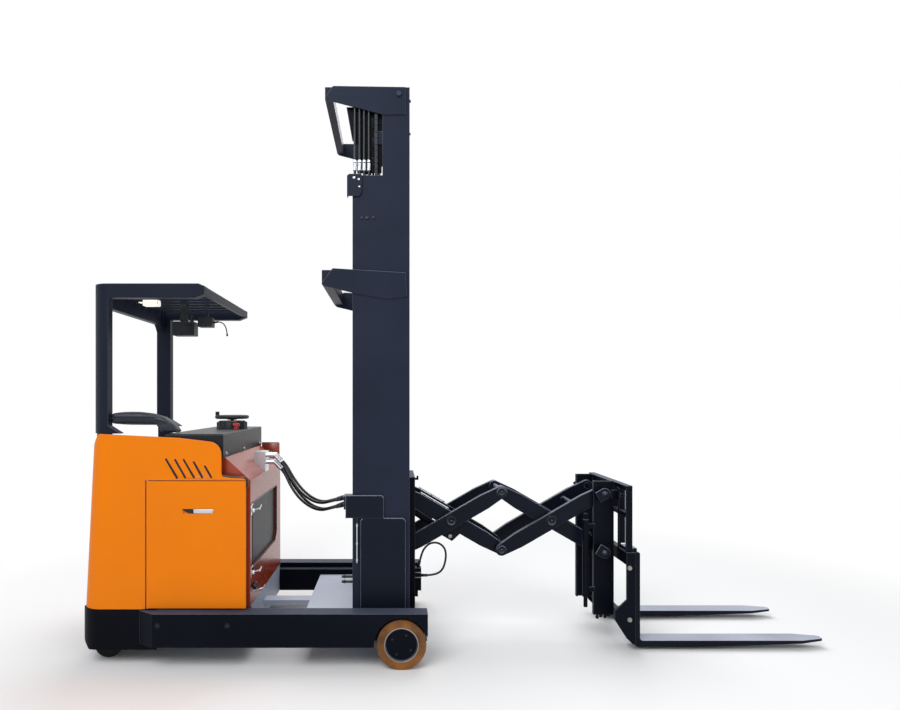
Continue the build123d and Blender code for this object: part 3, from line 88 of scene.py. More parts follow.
def per_metre(size_mm):
    """How many cells of this size in mm fit in a metre, which is a texture's scale."""
    return 1000 / size_mm


def add_node(tree, kind, inputs=None, **settings):
    """A node with its settings. An input is a plain value or another node's output socket."""
    node = tree.nodes.new(kind)
    for name, value in settings.items():
        setattr(node, name, value)
    for name, value in (inputs or {}).items():
        if isinstance(value, bpy.types.NodeSocket):
            tree.links.new(value, node.inputs[name])
        else:
            node.inputs[name].default_value = value
    return node


def new_material(name):
    """An empty node material: its tree, and its output node."""
    material = bpy.data.materials.new(name)
    material.use_nodes = True
    material.node_tree.nodes.clear()
    output = add_node(material.node_tree, "ShaderNodeOutputMaterial")
    return material, material.node_tree, output


print("orange in linear light:", [round(v, 3) for v in linear("#E57A08")])

# %% [markdown]
# ## Powder coat and enamel
#
# The panels are pressed steel with powder coat: gloss, with a faint orange peel where the
# powder flowed. The mast and frame are sprayed in a dark satin enamel. Both catch light on
# their folded edges, which real sheet rounds to a few millimetres. Modelled edges are sharp,
# so a bevel in the shader rounds the light there. A paler colour is also mixed in along the
# folds, most on upper edges: a painted highlight. Dust lies in soft patches. Faces that look
# up, such as the deck and the fork blades, are painted paler: part dust, part painted top light.

# %% Coated steel
PATCH_MM, FLECK_MM, PEEL_MM = 420, 38, 12
# The paler colour mixed in on folds is a painted highlight.
FOLD_HIGHLIGHT = "#A9AFC0"


def coated_steel(name, colour, dusty, rough, edge_mm, fold_highlight_gain, shine, top_dust_and_light, top_dust_and_light_colour):
    """Painted sheet: patchy dust, orange peel, a painted highlight along its folds, and paler tops of dust
    and painted top light.
    """
    material, tree, output = new_material(name)
    where = add_node(tree, "ShaderNodeTexCoord").outputs["Object"]
    patches = add_node(tree, "ShaderNodeTexNoise", {
        "Vector": where, "Scale": per_metre(PATCH_MM), "Detail": 5.0})
    fine = add_node(tree, "ShaderNodeTexNoise", {
        "Vector": where, "Scale": per_metre(FLECK_MM), "Detail": 3.0})
    patchy = add_node(tree, "ShaderNodeMapRange", {
        "Value": patches.outputs["Fac"], "From Min": 0.40, "From Max": 0.70, "To Max": 0.6})
    body = add_node(tree, "ShaderNodeMix", {
        "Factor": patchy.outputs["Result"], "A": linear(colour), "B": linear(dusty)},
        data_type="RGBA")
    rounded = add_node(tree, "ShaderNodeBevel", {"Radius": edge_mm * MM}, samples=6)
    geometry = add_node(tree, "ShaderNodeNewGeometry")
    turn = add_node(tree, "ShaderNodeVectorMath", {
        0: rounded.outputs["Normal"], 1: geometry.outputs["True Normal"]}, operation="DOT_PRODUCT")
    # A fold is where the rounded normal turns from the true one. The paler colour mixed in there, strongest
    # on upper edges, is a painted highlight.
    edge = add_node(tree, "ShaderNodeMapRange", {
        "Value": turn.outputs["Value"], "From Min": 0.97, "From Max": 0.78, "To Max": fold_highlight_gain})
    slope = add_node(tree, "ShaderNodeSeparateXYZ", {0: rounded.outputs["Normal"]})
    skyward = add_node(tree, "ShaderNodeMapRange", {
        "Value": slope.outputs["Z"], "From Min": -0.2, "From Max": 0.6, "To Min": 0.25, "To Max": 1.6})
    painted_fold_highlight = add_node(tree, "ShaderNodeMath", {
        0: edge.outputs["Result"], 1: skyward.outputs["Result"]}, operation="MULTIPLY", use_clamp=True)
    with_fold_highlight = add_node(tree, "ShaderNodeMix", {
        "Factor": painted_fold_highlight.outputs["Value"], "A": body.outputs["Result"], "B": linear(FOLD_HIGHLIGHT)},
        data_type="RGBA")
    # Upward faces are mixed towards a paler colour: part dust, part painted top light.
    upward = add_node(tree, "ShaderNodeSeparateXYZ", {0: geometry.outputs["Normal"]})
    level = add_node(tree, "ShaderNodeMapRange", {
        "Value": upward.outputs["Z"], "From Min": 0.7, "From Max": 0.98, "To Max": top_dust_and_light})
    streaks = add_node(tree, "ShaderNodeMapRange", {
        "Value": patches.outputs["Fac"], "To Min": 0.55, "To Max": 1.3})
    top_dust_and_light_mask = add_node(tree, "ShaderNodeMath", {
        0: level.outputs["Result"], 1: streaks.outputs["Result"]}, operation="MULTIPLY", use_clamp=True)
    surface = add_node(tree, "ShaderNodeMix", {
        "Factor": top_dust_and_light_mask.outputs["Value"], "A": with_fold_highlight.outputs["Result"], "B": linear(top_dust_and_light_colour)},
        data_type="RGBA")
    peel = add_node(tree, "ShaderNodeTexNoise", {
        "Vector": where, "Scale": per_metre(PEEL_MM), "Detail": 0.0})
    bump = add_node(tree, "ShaderNodeBump", {
        "Height": peel.outputs["Fac"], "Strength": 0.04, "Distance": 0.1 * MM,
        "Normal": rounded.outputs["Normal"]})
    gloss = add_node(tree, "ShaderNodeMapRange", {
        "Value": fine.outputs["Fac"], "To Min": rough - 0.05, "To Max": rough + 0.07})
    shader = add_node(tree, "ShaderNodeBsdfPrincipled", {
        "Base Color": surface.outputs["Result"], "Roughness": gloss.outputs["Result"],
        "Specular IOR Level": shine, "IOR": 1.5, "Normal": bump.outputs["Normal"]})
    tree.links.new(shader.outputs["BSDF"], output.inputs["Surface"])
    return material


COATS = {
    # colour, dusty colour, roughness, fold radius mm, painted highlight on folds, shine, dust and painted
    # top light on upward faces, its colour
    "orange_powder_coat": ("#E57A08", "#DE7712", 0.38, 4, 0.35, 0.10, 0.2, "#F0A050"),
    # The hood and the far corner get a darker, redder copy of the orange coat: painted shade on the same
    # orange paint.
    "shaded_orange_powder_coat": ("#A23A1C", "#96402A", 0.24, 6, 0.55, 0.50, 0.1, "#C07860"),
    "mast_enamel": ("#232939", "#1A202D", 0.42, 6, 0.45, 0.08, 0.5, "#6C7386"),
    "cover_enamel": ("#151A26", "#121620", 0.36, 11, 0.75, 0.08, 0.5, "#8C93A6"),
    "frame_enamel": ("#080B15", "#0D111D", 0.40, 5, 0.40, 0.06, 0.6, "#5A6174"),
    "arm_enamel": ("#0B0F1B", "#101523", 0.38, 7, 0.75, 0.10, 0.7, "#8C93A6"),
    "fork_steel": ("#0A0D16", "#131824", 0.36, 5, 0.35, 0.10, 1.0, "#B0B5C6"),
    "guard_enamel": ("#171C29", "#1E2432", 0.40, 7, 0.35, 0.08, 0.5, "#5A6174"),
    "console_enamel": ("#17191E", "#1E2025", 0.40, 5, 0.50, 0.20, 0.25, "#4A4C52"),
    "deck_enamel": ("#B2B9CA", "#949BAD", 0.44, 4, 0.3, 0.20, 0.8, "#C4CBDB"),
    "window_sheet": ("#26292C", "#303437", 0.40, 3, 0.2, 0.15, 0.0, "#54595A"),
}
finish = {}
for name, row in COATS.items():
    finish[name] = coated_steel(name, *row)
print("coats:", ", ".join(finish))

# %% [markdown]
# ## Moulded plastic, vinyl and rubber
#
# The skirt and console are moulded ABS with a spark-eroded grain of about half a millimetre.
# That is too fine to show from four metres away, so it is drawn at 3 mm. The rail's vinyl has a
# leather grain of about 2 mm, drawn at 5 mm. Hose rubber is smooth and slightly shiny from oil.

# %% Grained plastics and rubbers
CLOUD_MM = 160


def grained(name, colour, light, rough, grain_mm, relief, shine):
    """A moulded or calendered surface: cells of grain and a slight change of colour."""
    material, tree, output = new_material(name)
    where = add_node(tree, "ShaderNodeTexCoord").outputs["Object"]
    cells = add_node(tree, "ShaderNodeTexVoronoi", {
        "Vector": where, "Scale": per_metre(grain_mm)}, feature="SMOOTH_F1")
    cloudy = add_node(tree, "ShaderNodeTexNoise", {
        "Vector": where, "Scale": per_metre(CLOUD_MM), "Detail": 4.0})
    tone = add_node(tree, "ShaderNodeMix", {
        "Factor": cloudy.outputs["Fac"], "A": linear(colour), "B": linear(light)}, data_type="RGBA")
    rounded = add_node(tree, "ShaderNodeBevel", {"Radius": 3 * MM}, samples=4)
    bump = add_node(tree, "ShaderNodeBump", {
        "Height": cells.outputs["Distance"], "Strength": relief, "Distance": 0.8 * MM,
        "Normal": rounded.outputs["Normal"]})
    gloss = add_node(tree, "ShaderNodeMapRange", {
        "Value": cloudy.outputs["Fac"], "To Min": rough - 0.07, "To Max": rough + 0.09})
    shader = add_node(tree, "ShaderNodeBsdfPrincipled", {
        "Base Color": tone.outputs["Result"], "Roughness": gloss.outputs["Result"], "IOR": 1.5,
        "Specular IOR Level": shine, "Normal": bump.outputs["Normal"]})
    tree.links.new(shader.outputs["BSDF"], output.inputs["Surface"])
    return material


GRAINED = {
    # colour, lighter colour, roughness, grain mm, relief, shine
    "skirt_abs": ("#03050B", "#070A13", 0.44, 3, 0.30, 0.07),
    "console_abs": ("#1B1D22", "#24272C", 0.44, 3, 0.30, 0.25),
    "rail_vinyl": ("#1A1E2A", "#262B39", 0.40, 5, 0.45, 0.30),
    "hose_rubber": ("#0B0D13", "#161A22", 0.30, 4, 0.10, 0.40),
    "tyre_rubber": ("#0E0E10", "#1A1A1B", 0.72, 6, 0.40, 0.20),
    "mat_rubber": ("#0C0D0F", "#18191C", 0.66, 8, 0.60, 0.20),
    "stop_red_abs": ("#B3140F", "#C92A1E", 0.30, 3, 0.10, 0.50),
    "battery_case": ("#2A2E32", "#3A3E42", 0.55, 6, 0.30, 0.30),
    "knob_black": ("#08090C", "#101116", 0.28, 3, 0.05, 0.40),
}
for name, row in GRAINED.items():
    finish[name] = grained(name, *row)
print("plastics and rubbers:", ", ".join(GRAINED))

# %% [markdown]
# ## Cast polyurethane
#
# The load wheels' tyres are cast polyurethane: amber, a little translucent, darker where the
# floor's dirt is pressed in. Light enters a few millimetres, so some subsurface scatter is
# mixed in, and the same dirt raises the surface a little.

# %% Amber tyre
GRIME_MM = 130


def cast_polyurethane():
    """Amber cast tyre: patches of floor dirt over a little scatter."""
    material, tree, output = new_material("cast_polyurethane")
    where = add_node(tree, "ShaderNodeTexCoord").outputs["Object"]
    grime = add_node(tree, "ShaderNodeTexNoise", {
        "Vector": where, "Scale": per_metre(GRIME_MM), "Detail": 6.0})
    dirty = add_node(tree, "ShaderNodeMapRange", {
        "Value": grime.outputs["Fac"], "From Min": 0.38, "From Max": 0.64, "To Max": 0.85})
    tone = add_node(tree, "ShaderNodeMix", {
        "Factor": dirty.outputs["Result"], "A": linear("#8F5A26"), "B": linear("#46301F")}, data_type="RGBA")
    rounded = add_node(tree, "ShaderNodeBevel", {"Radius": 6 * MM}, samples=4)
    bump = add_node(tree, "ShaderNodeBump", {
        "Height": grime.outputs["Fac"], "Strength": 0.1, "Distance": 1.0 * MM,
        "Normal": rounded.outputs["Normal"]})
    shader = add_node(tree, "ShaderNodeBsdfPrincipled", {
        "Base Color": tone.outputs["Result"], "Roughness": 0.38, "IOR": 1.5,
        "Specular IOR Level": 0.25, "Subsurface Weight": 0.12, "Subsurface Scale": 6 * MM,
        "Normal": bump.outputs["Normal"]})
    tree.links.new(shader.outputs["BSDF"], output.inputs["Surface"])
    return material


finish["cast_polyurethane"] = cast_polyurethane()
print("tyre: cast_polyurethane")

# %% [markdown]
# ## Opal lens
#
# The roof lamp's lens is opal acrylic, which passes daylight from above and looks brighter than
# its dark surroundings. A faint glow of its own gives that without a lamp inside. Ribs moulded
# in the lens spread the light, and the wave node draws about three of them to a unit of scale.

# %% Opal acrylic
RIB_MM = 24
RIBS_TO_A_UNIT = 3.14


def opal_acrylic():
    """White ribbed lens with a faint glow."""
    material, tree, output = new_material("opal_acrylic")
    where = add_node(tree, "ShaderNodeTexCoord").outputs["Object"]
    ribs = add_node(tree, "ShaderNodeTexWave", {
        "Vector": where, "Scale": per_metre(RIB_MM) / RIBS_TO_A_UNIT, "Distortion": 0.0})
    bump = add_node(tree, "ShaderNodeBump", {
        "Height": ribs.outputs["Fac"], "Strength": 0.3, "Distance": 1.0 * MM})
    shader = add_node(tree, "ShaderNodeBsdfPrincipled", {
        "Base Color": linear("#FBF7F0"), "Roughness": 0.3, "IOR": 1.49,
        "Emission Color": linear("#FFF4E6"), "Emission Strength": 0.55,
        "Normal": bump.outputs["Normal"]})
    tree.links.new(shader.outputs["BSDF"], output.inputs["Surface"])
    return material


finish["opal_acrylic"] = opal_acrylic()
print("lens: opal_acrylic")

# %% [markdown]
# ## Bare metals
#
# Pins, latches and fittings are zinc-plated steel, slightly blue and softly brushed. Cylinder
# rods are hard chrome, polished to a mirror. Some screws are blackened, and turned faces are a
# little yellow from oil. All are full metals with their default IOR. The brushing is a noise
# stretched along one axis, at 1.5 to 2 mm because 0.1 mm would not show.

# %% Plated steel and chrome
STRETCH = (1.0, 1.0, 0.08)  # the brushing runs along Z


def bare_metal(name, colour, rough, brush_mm):
    """Brushed or polished metal, rougher and smoother along its brushing."""
    material, tree, output = new_material(name)
    where = add_node(tree, "ShaderNodeTexCoord").outputs["Object"]
    stretched = add_node(tree, "ShaderNodeMapping", {"Vector": where, "Scale": STRETCH})
    brush = add_node(tree, "ShaderNodeTexNoise", {
        "Vector": stretched.outputs["Vector"], "Scale": per_metre(brush_mm), "Detail": 2.0})
    gloss = add_node(tree, "ShaderNodeMapRange", {
        "Value": brush.outputs["Fac"], "To Min": rough * 0.7, "To Max": rough * 1.4})
    shader = add_node(tree, "ShaderNodeBsdfPrincipled", {
        "Base Color": linear(colour), "Metallic": 1.0, "Roughness": gloss.outputs["Result"]})
    tree.links.new(shader.outputs["BSDF"], output.inputs["Surface"])
    return material


METALS = {
    # colour, roughness, brushing mm
    "zinc_plate": ("#C9CCD2", 0.32, 1.5),
    "hard_chrome": ("#DADCE0", 0.08, 2.0),
    "dark_steel": ("#343842", 0.45, 2.0),
    "machined_steel": ("#96918A", 0.38, 1.5),
}
for name, row in METALS.items():
    finish[name] = bare_metal(name, *row)
print("metals:", ", ".join(METALS))

# %% [markdown]
# ## Finishes on the solids
#
# Every solid keeps its shape and gets the finish of the real piece. The list is by finish, so
# that one look tells what a material is used for. Only the rod of the free lift is chromed:
# its head, which carries the chain sheave, is dark.

# %% Give each solid its finish
USED_ON = {
    "orange_powder_coat": ["side_panel_left", "side_panel_right", "side_door"],
    "shaded_orange_powder_coat": ["battery_hood"],
    "mast_enamel": ["mast_outer"],
    "cover_enamel": ["mast_covers"],
    "frame_enamel": [
        "leg_left", "leg_right", "drive_cabinet", "drive_mount", "drive_unit", "caster_bracket",
        "reach_carriage", "reach_valve", "fork_carriage", "fork_frame", "load_backrest",
        "load_hub_left", "load_hub_right", "drive_hub", "lift_barrels", "free_lift_barrel",
        "reach_barrels", "mast_middle", "mast_inner",
    ],
    "arm_enamel": ["arm_mast_outer", "arm_mast_inner", "arm_fork_inner", "arm_fork_outer"],
    "fork_steel": ["fork_left", "fork_right"],
    "guard_enamel": ["overhead_guard"],
    "deck_enamel": ["chassis_frame"],
    "window_sheet": ["battery_cover"],
    "skirt_abs": ["rear_skirt"],
    "console_enamel": ["control_console"],
    "console_abs": ["steering_column", "steering_wheel", "guard_fittings"],
    "mat_rubber": ["operator_floor"],
    "tyre_rubber": ["drive_tyre", "caster_wheels"],
    "cast_polyurethane": ["load_tyre_left", "load_tyre_right"],
    "stop_red_abs": ["emergency_button"],
    "battery_case": ["battery"],
    "hose_rubber": ["mast_lines"],
    "zinc_plate": ["door_pins", "door_latch", "hydraulic_manifold"],
    "hard_chrome": ["lift_rods", "free_lift_rod", "reach_rods"],
}
for material_name, node_names in USED_ON.items():
    for node_name in node_names:
        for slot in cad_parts[node_name].material_slots:
            slot.material = finish[material_name]
HEAD_FROM = 1.72  # metres up: the rod ends here and its head starts
lift_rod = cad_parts["free_lift_rod"]
lift_rod.data.materials.append(finish["dark_steel"])
for polygon in lift_rod.data.polygons:
    if (lift_rod.matrix_world @ polygon.center).z > HEAD_FROM:
        polygon.material_index = len(lift_rod.data.materials) - 1
print("finished solids:", sum(len(v) for v in USED_ON.values()))

# %% [markdown]
# ## Hoses
#
# Four pressure hoses leave elbow fittings on the hood, sag under their own weight and enter a
# block on the mast. A short hose loops in front of the reach valve, and a lead hangs from the
# control box under the guard. A hose is one smooth line, so each is a NURBS curve through the
# same route as its solid, with a round bevel.

# %% Curves for the hoses
ROUTES = {
    "hose_lift_right": [
        (-1205, -35, 1170), (-1165, -35, 1130), (-1118, -70, 1046), (-1048, -130, 968),
        (-962, -215, 922), (-885, -318, 920), (-820, -392, 945), (-758, -410, 962)],
    "hose_lift_left": [
        (-1205, 35, 1170), (-1165, 35, 1130), (-1114, 0, 1048), (-1042, -58, 970),
        (-955, -145, 922), (-878, -245, 917), (-815, -330, 942), (-758, -368, 962)],
    "hose_reach_right": [
        (-1205, -35, 1125), (-1165, -35, 1085), (-1120, -74, 1000), (-1050, -136, 922),
        (-963, -220, 878), (-886, -320, 876), (-821, -394, 902), (-758, -410, 920)],
    "hose_reach_left": [
        (-1205, 35, 1125), (-1165, 35, 1085), (-1116, 0, 1002), (-1044, -60, 922),
        (-957, -148, 874), (-880, -247, 870), (-816, -332, 896), (-758, -368, 920)],
    "hose_valve": [
        (-222, -30, 385), (-160, -30, 385), (-98, -30, 412), (-72, -30, 484),
        (-72, -30, 561.5), (-116.5, -30, 606), (-179.5, -30, 606), (-224, -30, 561.5),
        (-242, -30, 508), (-255, -30, 458)],
    "guard_lead": [
        (-1682, 123.2, 2118), (-1650, 124, 2124), (-1618, 126, 2108), (-1602, 130, 2074),
        (-1599, 136, 2040)],
}
HOSES = [
    # node, body, diameter in mm, length in mm, what is on the far end, finish of the first collar
    ("hose_lift_right", "chassis", 18, 700, "object", "zinc_plate"),
    ("hose_lift_left", "chassis", 18, 714, "object", "zinc_plate"),
    ("hose_reach_right", "chassis", 18, 700, "object", "zinc_plate"),
    ("hose_reach_left", "chassis", 18, 718, "object", "zinc_plate"),
    ("hose_valve", "reach_carriage", 14, 566, "object", "dark_steel"),
    ("guard_lead", "chassis", 8, 138, "connector", "dark_steel"),
]
CURVE_ORDER = 3


def smooth_tube(name, points, diameter_mm, material_name, body):
    """A round tube that rides on a body: one NURBS line with control points in mm."""
    curve = bpy.data.curves.new(name, "CURVE")
    curve.dimensions = "3D"
    curve.bevel_depth = diameter_mm * MM / 2
    curve.bevel_resolution = 5
    curve.resolution_u = 10
    curve.use_fill_caps = True
    spline = curve.splines.new("NURBS")
    spline.points.add(len(points) - 1)
    for point, place in zip(spline.points, points):
        point.co = (*(v * MM for v in place), 1.0)
    spline.order_u = CURVE_ORDER
    spline.use_endpoint_u = True
    tube = bpy.data.objects.new(name, curve)
    bpy.context.scene.collection.objects.link(tube)
    curve.materials.append(finish[material_name])
    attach(tube, body)
    return tube


# %% [markdown]
# ## Turned parts and small hardware
#
# Nuts, washers, knobs, rings and ferrules are all turned or hexagonal. One helper spins a
# profile of radius and height pairs about an axis. A hexagon is the same profile with six
# steps. Pressed and folded pieces are plates and rounded slabs. Many small pieces are joined
# in one mesh, so that a row of bolts is one object.

# %% Spin a profile, and join many into one piece
def spun(bm, profile, centre, axis, steps):
    """Adds a closed turned solid to a bmesh. Profile rows are radius and height in mm."""
    to_axis = Vector((0, 0, 1)).rotation_difference(Vector(axis)).to_matrix().to_4x4()
    place = Matrix.Translation(Vector(centre) * MM) @ to_axis
    rings = []
    for radius, height in profile:
        if radius == 0:
            rings.append([bm.verts.new(place @ Vector((0, 0, height * MM)))])
            continue
        ring = []
        for k in range(steps):
            angle = 2 * math.pi * k / steps
            x, y = radius * MM * math.cos(angle), radius * MM * math.sin(angle)
            ring.append(bm.verts.new(place @ Vector((x, y, height * MM))))
        rings.append(ring)
    for low, high in zip(rings, rings[1:]):
        for k in range(steps):
            after = (k + 1) % steps
            if len(low) == 1:
                bm.faces.new((low[0], high[after], high[k]))
            elif len(high) == 1:
                bm.faces.new((low[k], low[after], high[0]))
            else:
                bm.faces.new((low[k], low[after], high[after], high[k]))


def rod(bm, start, end, radius, steps=16):
    """Adds a round bar with softened ends between two points in mm."""
    way = Vector(end) - Vector(start)
    soft = min(radius * 0.4, 2)
    shape = [(0, 0), (radius - soft, 0), (radius, soft), (radius, way.length - soft),
             (radius - soft, way.length), (0, way.length)]
    spun(bm, shape, start, way.normalized(), steps)


def round_off(bm, edges, bevel_mm, segments):
    """Rounds these edges of a bmesh."""
    bmesh.ops.bevel(bm, geom=edges, offset=bevel_mm * MM, segments=segments, affect="EDGES", profile=0.5)


def slab(bm, low, high, bevel_mm):
    """Adds a box with rounded edges to a bmesh, from its corners in mm."""
    made = bmesh.ops.create_cube(bm, size=1.0)["verts"]
    size = [h - l for l, h in zip(low, high)]
    centre = [(h + l) / 2 for l, h in zip(low, high)]
    bmesh.ops.scale(bm, vec=[s * MM for s in size], verts=made)
    bmesh.ops.translate(bm, vec=[c * MM for c in centre], verts=made)
    round_off(bm, list(dict.fromkeys(e for v in made for e in v.link_edges)), bevel_mm, 3)


def plate(bm, outline, low_y, high_y):
    """Adds a flat sheet to a bmesh: an outline of x and z in mm, between two y."""
    near, far = (
        [bm.verts.new((x * MM, y * MM, z * MM)) for x, z in outline] for y in (low_y, high_y))
    bm.faces.new(near)
    bm.faces.new(list(reversed(far)))
    for k in range(len(near)):
        after = (k + 1) % len(near)
        bm.faces.new((near[k], far[k], far[after], near[after]))


def piece(name, bm, material_name, body, smooth_deg=35):
    """Turns a bmesh into an object that rides on a body."""
    bmesh.ops.recalc_face_normals(bm, faces=bm.faces)
    mesh = bpy.data.meshes.new(name)
    bm.to_mesh(mesh)
    bm.free()
    mesh.shade_smooth()
    mesh.set_sharp_from_angle(angle=math.radians(smooth_deg))
    thing = bpy.data.objects.new(name, mesh)
    bpy.context.scene.collection.objects.link(thing)
    mesh.materials.append(finish[material_name])
    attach(thing, body)
    return thing


# Profiles as shares of the washer's radius, with the steps that each is spun in
WASHER = [(0, 0), (1.0, 0), (1.0, 0.12), (0.94, 0.18), (0, 0.18)], 20
HEADS = {
    "hex": ([(0, 0.15), (0.86, 0.15), (0.86, 0.62), (0.76, 0.72), (0, 0.72)], 6),
    "cap": ([(0, 0), (0.8, 0), (0.8, 0.55), (0.7, 0.66), (0.42, 0.66), (0.42, 0.35), (0, 0.35)], 16),
}


def bolt(bm, centre, axis, radius, kind):
    """A bolt head whose washer has this radius in mm, standing on its centre point."""
    for shape, steps in (WASHER, HEADS[kind]):
        spun(bm, [(r * radius, h * radius) for r, h in shape], centre, axis, steps)


def bolts(name, body, rows, material_name="zinc_plate"):
    """One piece from rows of centre, axis, washer radius and kind."""
    bm = bmesh.new()
    for centre, axis, radius, kind in rows:
        bolt(bm, centre, axis, radius, kind)
    return piece(name, bm, material_name, body)


SIDES = (("right", -1), ("left", 1))
print("bolt heads:", ", ".join(HEADS))

# %% Ferrules and the hoses themselves
FERRULE_MM = 26
# Height over the hose's own radius, and distance along the hose
CRIMPS = [(0.2, 0), (2.6, 2), (2.6, 8), (1.6, 10), (2.6, 12), (2.6, 22), (3.6, 24), (3.6, FERRULE_MM)]
CONNECTOR = [(0, 0), (4.6, 0), (6.5, 2), (6.5, 16), (5.4, 18), (0, 18)]


def ferrule(bm, inner, end, radius):
    """A crimped collar over the end of a hose."""
    way = (Vector(end) - Vector(inner)).normalized()
    start = Vector(end) - way * FERRULE_MM
    profile = [(0, 0), *((radius + proud, along) for proud, along in CRIMPS), (0, FERRULE_MM)]
    spun(bm, profile, start, way, 20)


for node_name, body_name, diameter, length, far_end, collar in HOSES:
    route = ROUTES[node_name]
    tube = smooth_tube(node_name + "_line", route, diameter, "hose_rubber", body_name)
    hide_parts(node_name)
    bm = bmesh.new()
    ferrule(bm, route[1], route[0], diameter / 2)
    near_end = piece(node_name + "_collar", bm, collar, body_name)
    bm = bmesh.new()
    if far_end == "object":
        ferrule(bm, route[-2], route[-1], diameter / 2)
        other_end = piece(node_name + "_ferrule", bm, "dark_steel", body_name)
    else:
        spun(bm, CONNECTOR, route[-1], (0.0, 0.1, -1.0), 8)
        other_end = piece(node_name + "_connector", bm, "knob_black", body_name)
print("hoses:", len(HOSES))

# %% [markdown]
# ## The padded rail
#
# The operator leans on a foam rail with a vinyl cover. Foam under tight vinyl swells between
# its seams, so the rail starts a little small, is remeshed to even cells, and is blown up by a
# cloth simulation with pressure. Its foot and its rear end are held, where it is screwed on. A
# groove and a welt run along the seam at half height.

# %% Blow up the foam rail
PAD_OUTLINE = [
    # x, z in mm, along the rail's side
    (-2122, 1430), (-2122, 1494), (-2050, 1500), (-1960, 1500), (-1880, 1490), (-1805, 1468),
    (-1750, 1432), (-1712, 1378), (-1832, 1378), (-1832, 1424), (-1860, 1430),
]
PAD_Y = (-532, -438)
SEAM_Z = 1463
SEAM_HALF_WIDTH, SEAM_DEPTH, SIDE_BAND = 9, 4, 14
WELT_DIAMETER = 5
PRESSURE, MOST_RISE = 4.0, 7
# The next six are in metres, as Blender's own
EDGE_RADIUS, CELL = 0.020, 0.007
HELD_BELOW_Z, HELD_BEHIND_X = 1.386, -2.116
PAD_MIDDLE_Y, SEAM_END_X = -0.485, -1.80


def foam_rail():
    """The rail before it is blown up: its outline as a plate, with round edges and even cells."""
    bm = bmesh.new()
    plate(bm, PAD_OUTLINE, *PAD_Y)
    rail = piece("padded_rail", bm, "rail_vinyl", "chassis", 180)
    soften = rail.modifiers.new("round", "BEVEL")
    soften.width = EDGE_RADIUS
    soften.segments = 4
    soften.limit_method = "ANGLE"
    grid = rail.modifiers.new("grid", "REMESH")
    grid.mode = "VOXEL"
    grid.voxel_size = CELL
    return rail


def bake_modifiers(thing):
    """Replaces an object's mesh by what its modifiers make of it."""
    bpy.context.view_layer.update()
    graph = bpy.context.evaluated_depsgraph_get()
    made = bpy.data.meshes.new_from_object(thing.evaluated_get(graph))
    thing.modifiers.clear()
    thing.data = made


def blow_up(thing, pressure, cap_mm, frames=20):
    """Cloth with pressure, where no point may move further than the cap."""
    start = [v.co.copy() for v in thing.data.vertices]
    held = thing.vertex_groups.new(name="held")
    seat = [v.index for v in thing.data.vertices if v.co.z < HELD_BELOW_Z or v.co.x < HELD_BEHIND_X]
    held.add(seat, 1.0, "REPLACE")
    cloth = thing.modifiers.new("foam", "CLOTH")
    cloth.settings.quality = 5
    cloth.settings.use_pressure = True
    cloth.settings.uniform_pressure_force = pressure
    cloth.settings.vertex_group_mass = "held"
    cloth.settings.effector_weights.gravity = 0.0
    cloth.point_cache.frame_start = 1
    cloth.point_cache.frame_end = frames
    for number in range(1, frames + 1):
        bpy.context.scene.frame_set(number)
    bake_modifiers(thing)
    bpy.context.scene.frame_set(1)
    for vertex, place in zip(thing.data.vertices, start):
        move = vertex.co - place
        if move.length > cap_mm * MM:
            vertex.co = place + move.normalized() * cap_mm * MM


rail = foam_rail()
bake_modifiers(rail)
blow_up(rail, PRESSURE, MOST_RISE)
for vertex in rail.data.vertices:
    off = abs(vertex.co.z - SEAM_Z * MM) / (SEAM_HALF_WIDTH * MM)
    side = vertex.co.y < (PAD_Y[0] + SIDE_BAND) * MM or vertex.co.y > (PAD_Y[1] - SIDE_BAND) * MM
    if off < 1 and side and vertex.co.x < SEAM_END_X:
        inward = 1 if vertex.co.y < PAD_MIDDLE_Y else -1
        vertex.co.y += inward * SEAM_DEPTH * MM * (1 - off * off)
rail.data.shade_smooth()
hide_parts("lean_pad")
smooth_tube("rail_welt", [
    (-2120, -537, SEAM_Z), (-2000, -538, SEAM_Z), (-1860, -538, SEAM_Z - 2),
    (-1800, -538, SEAM_Z - 14), (-1752, -537, SEAM_Z - 40), (-1716, -535, SEAM_Z - 84),
], WELT_DIAMETER, "rail_vinyl", "chassis")
print("padded rail:", len(rail.data.vertices), "points")

# %% [markdown]
# ## Load wheels
#
# Each load wheel has a machined rim that shows as a pale ring round a black dished disc with
# four small screws. The ring is a thin turned piece with a rounded lip, set on the rim.

# %% Rim rings and disc screws
WHEEL_X, WHEEL_Z = -381, 145
RIM_Y, DISC_Y = 633.3, 626  # the faces that the ring and the screws stand on
RING = [(95.0, 0), (101.0, 0), (101.0, 1.0), (100.0, 1.6), (96.0, 1.6), (95.0, 0.8), (95.0, 0)]
SCREW_CIRCLE = 62
SCREW_TURNS = (63, 150, 243, 330)  # degrees round the disc
for side, way in SIDES:
    bm = bmesh.new()
    spun(bm, RING, (WHEEL_X, way * RIM_Y, WHEEL_Z), (0, way, 0), 96)
    piece("rim_ring_" + side, bm, "machined_steel", "load_wheel_" + side)
    rows = []
    for turn in SCREW_TURNS:
        x = WHEEL_X + SCREW_CIRCLE * math.cos(math.radians(turn))
        z = WHEEL_Z + SCREW_CIRCLE * math.sin(math.radians(turn))
        rows.append(((x, way * DISC_Y, z), (0, way, 0), 7, "cap"))
    bolts("disc_screws_" + side, "load_wheel_" + side, rows, "dark_steel")
print("rim rings:", len(SIDES), "disc screws:", len(SIDES) * len(SCREW_TURNS))

# %% [markdown]
# ## Fasteners
#
# Bolts are listed with the face that they stand on. They tell the eye how large the truck is
# and where one part ends. Only those that show in the photograph are made, with the same ones
# on the other side where the part is mirrored. The legs' plugs lie flush, because the legs are
# the widest part of the truck.

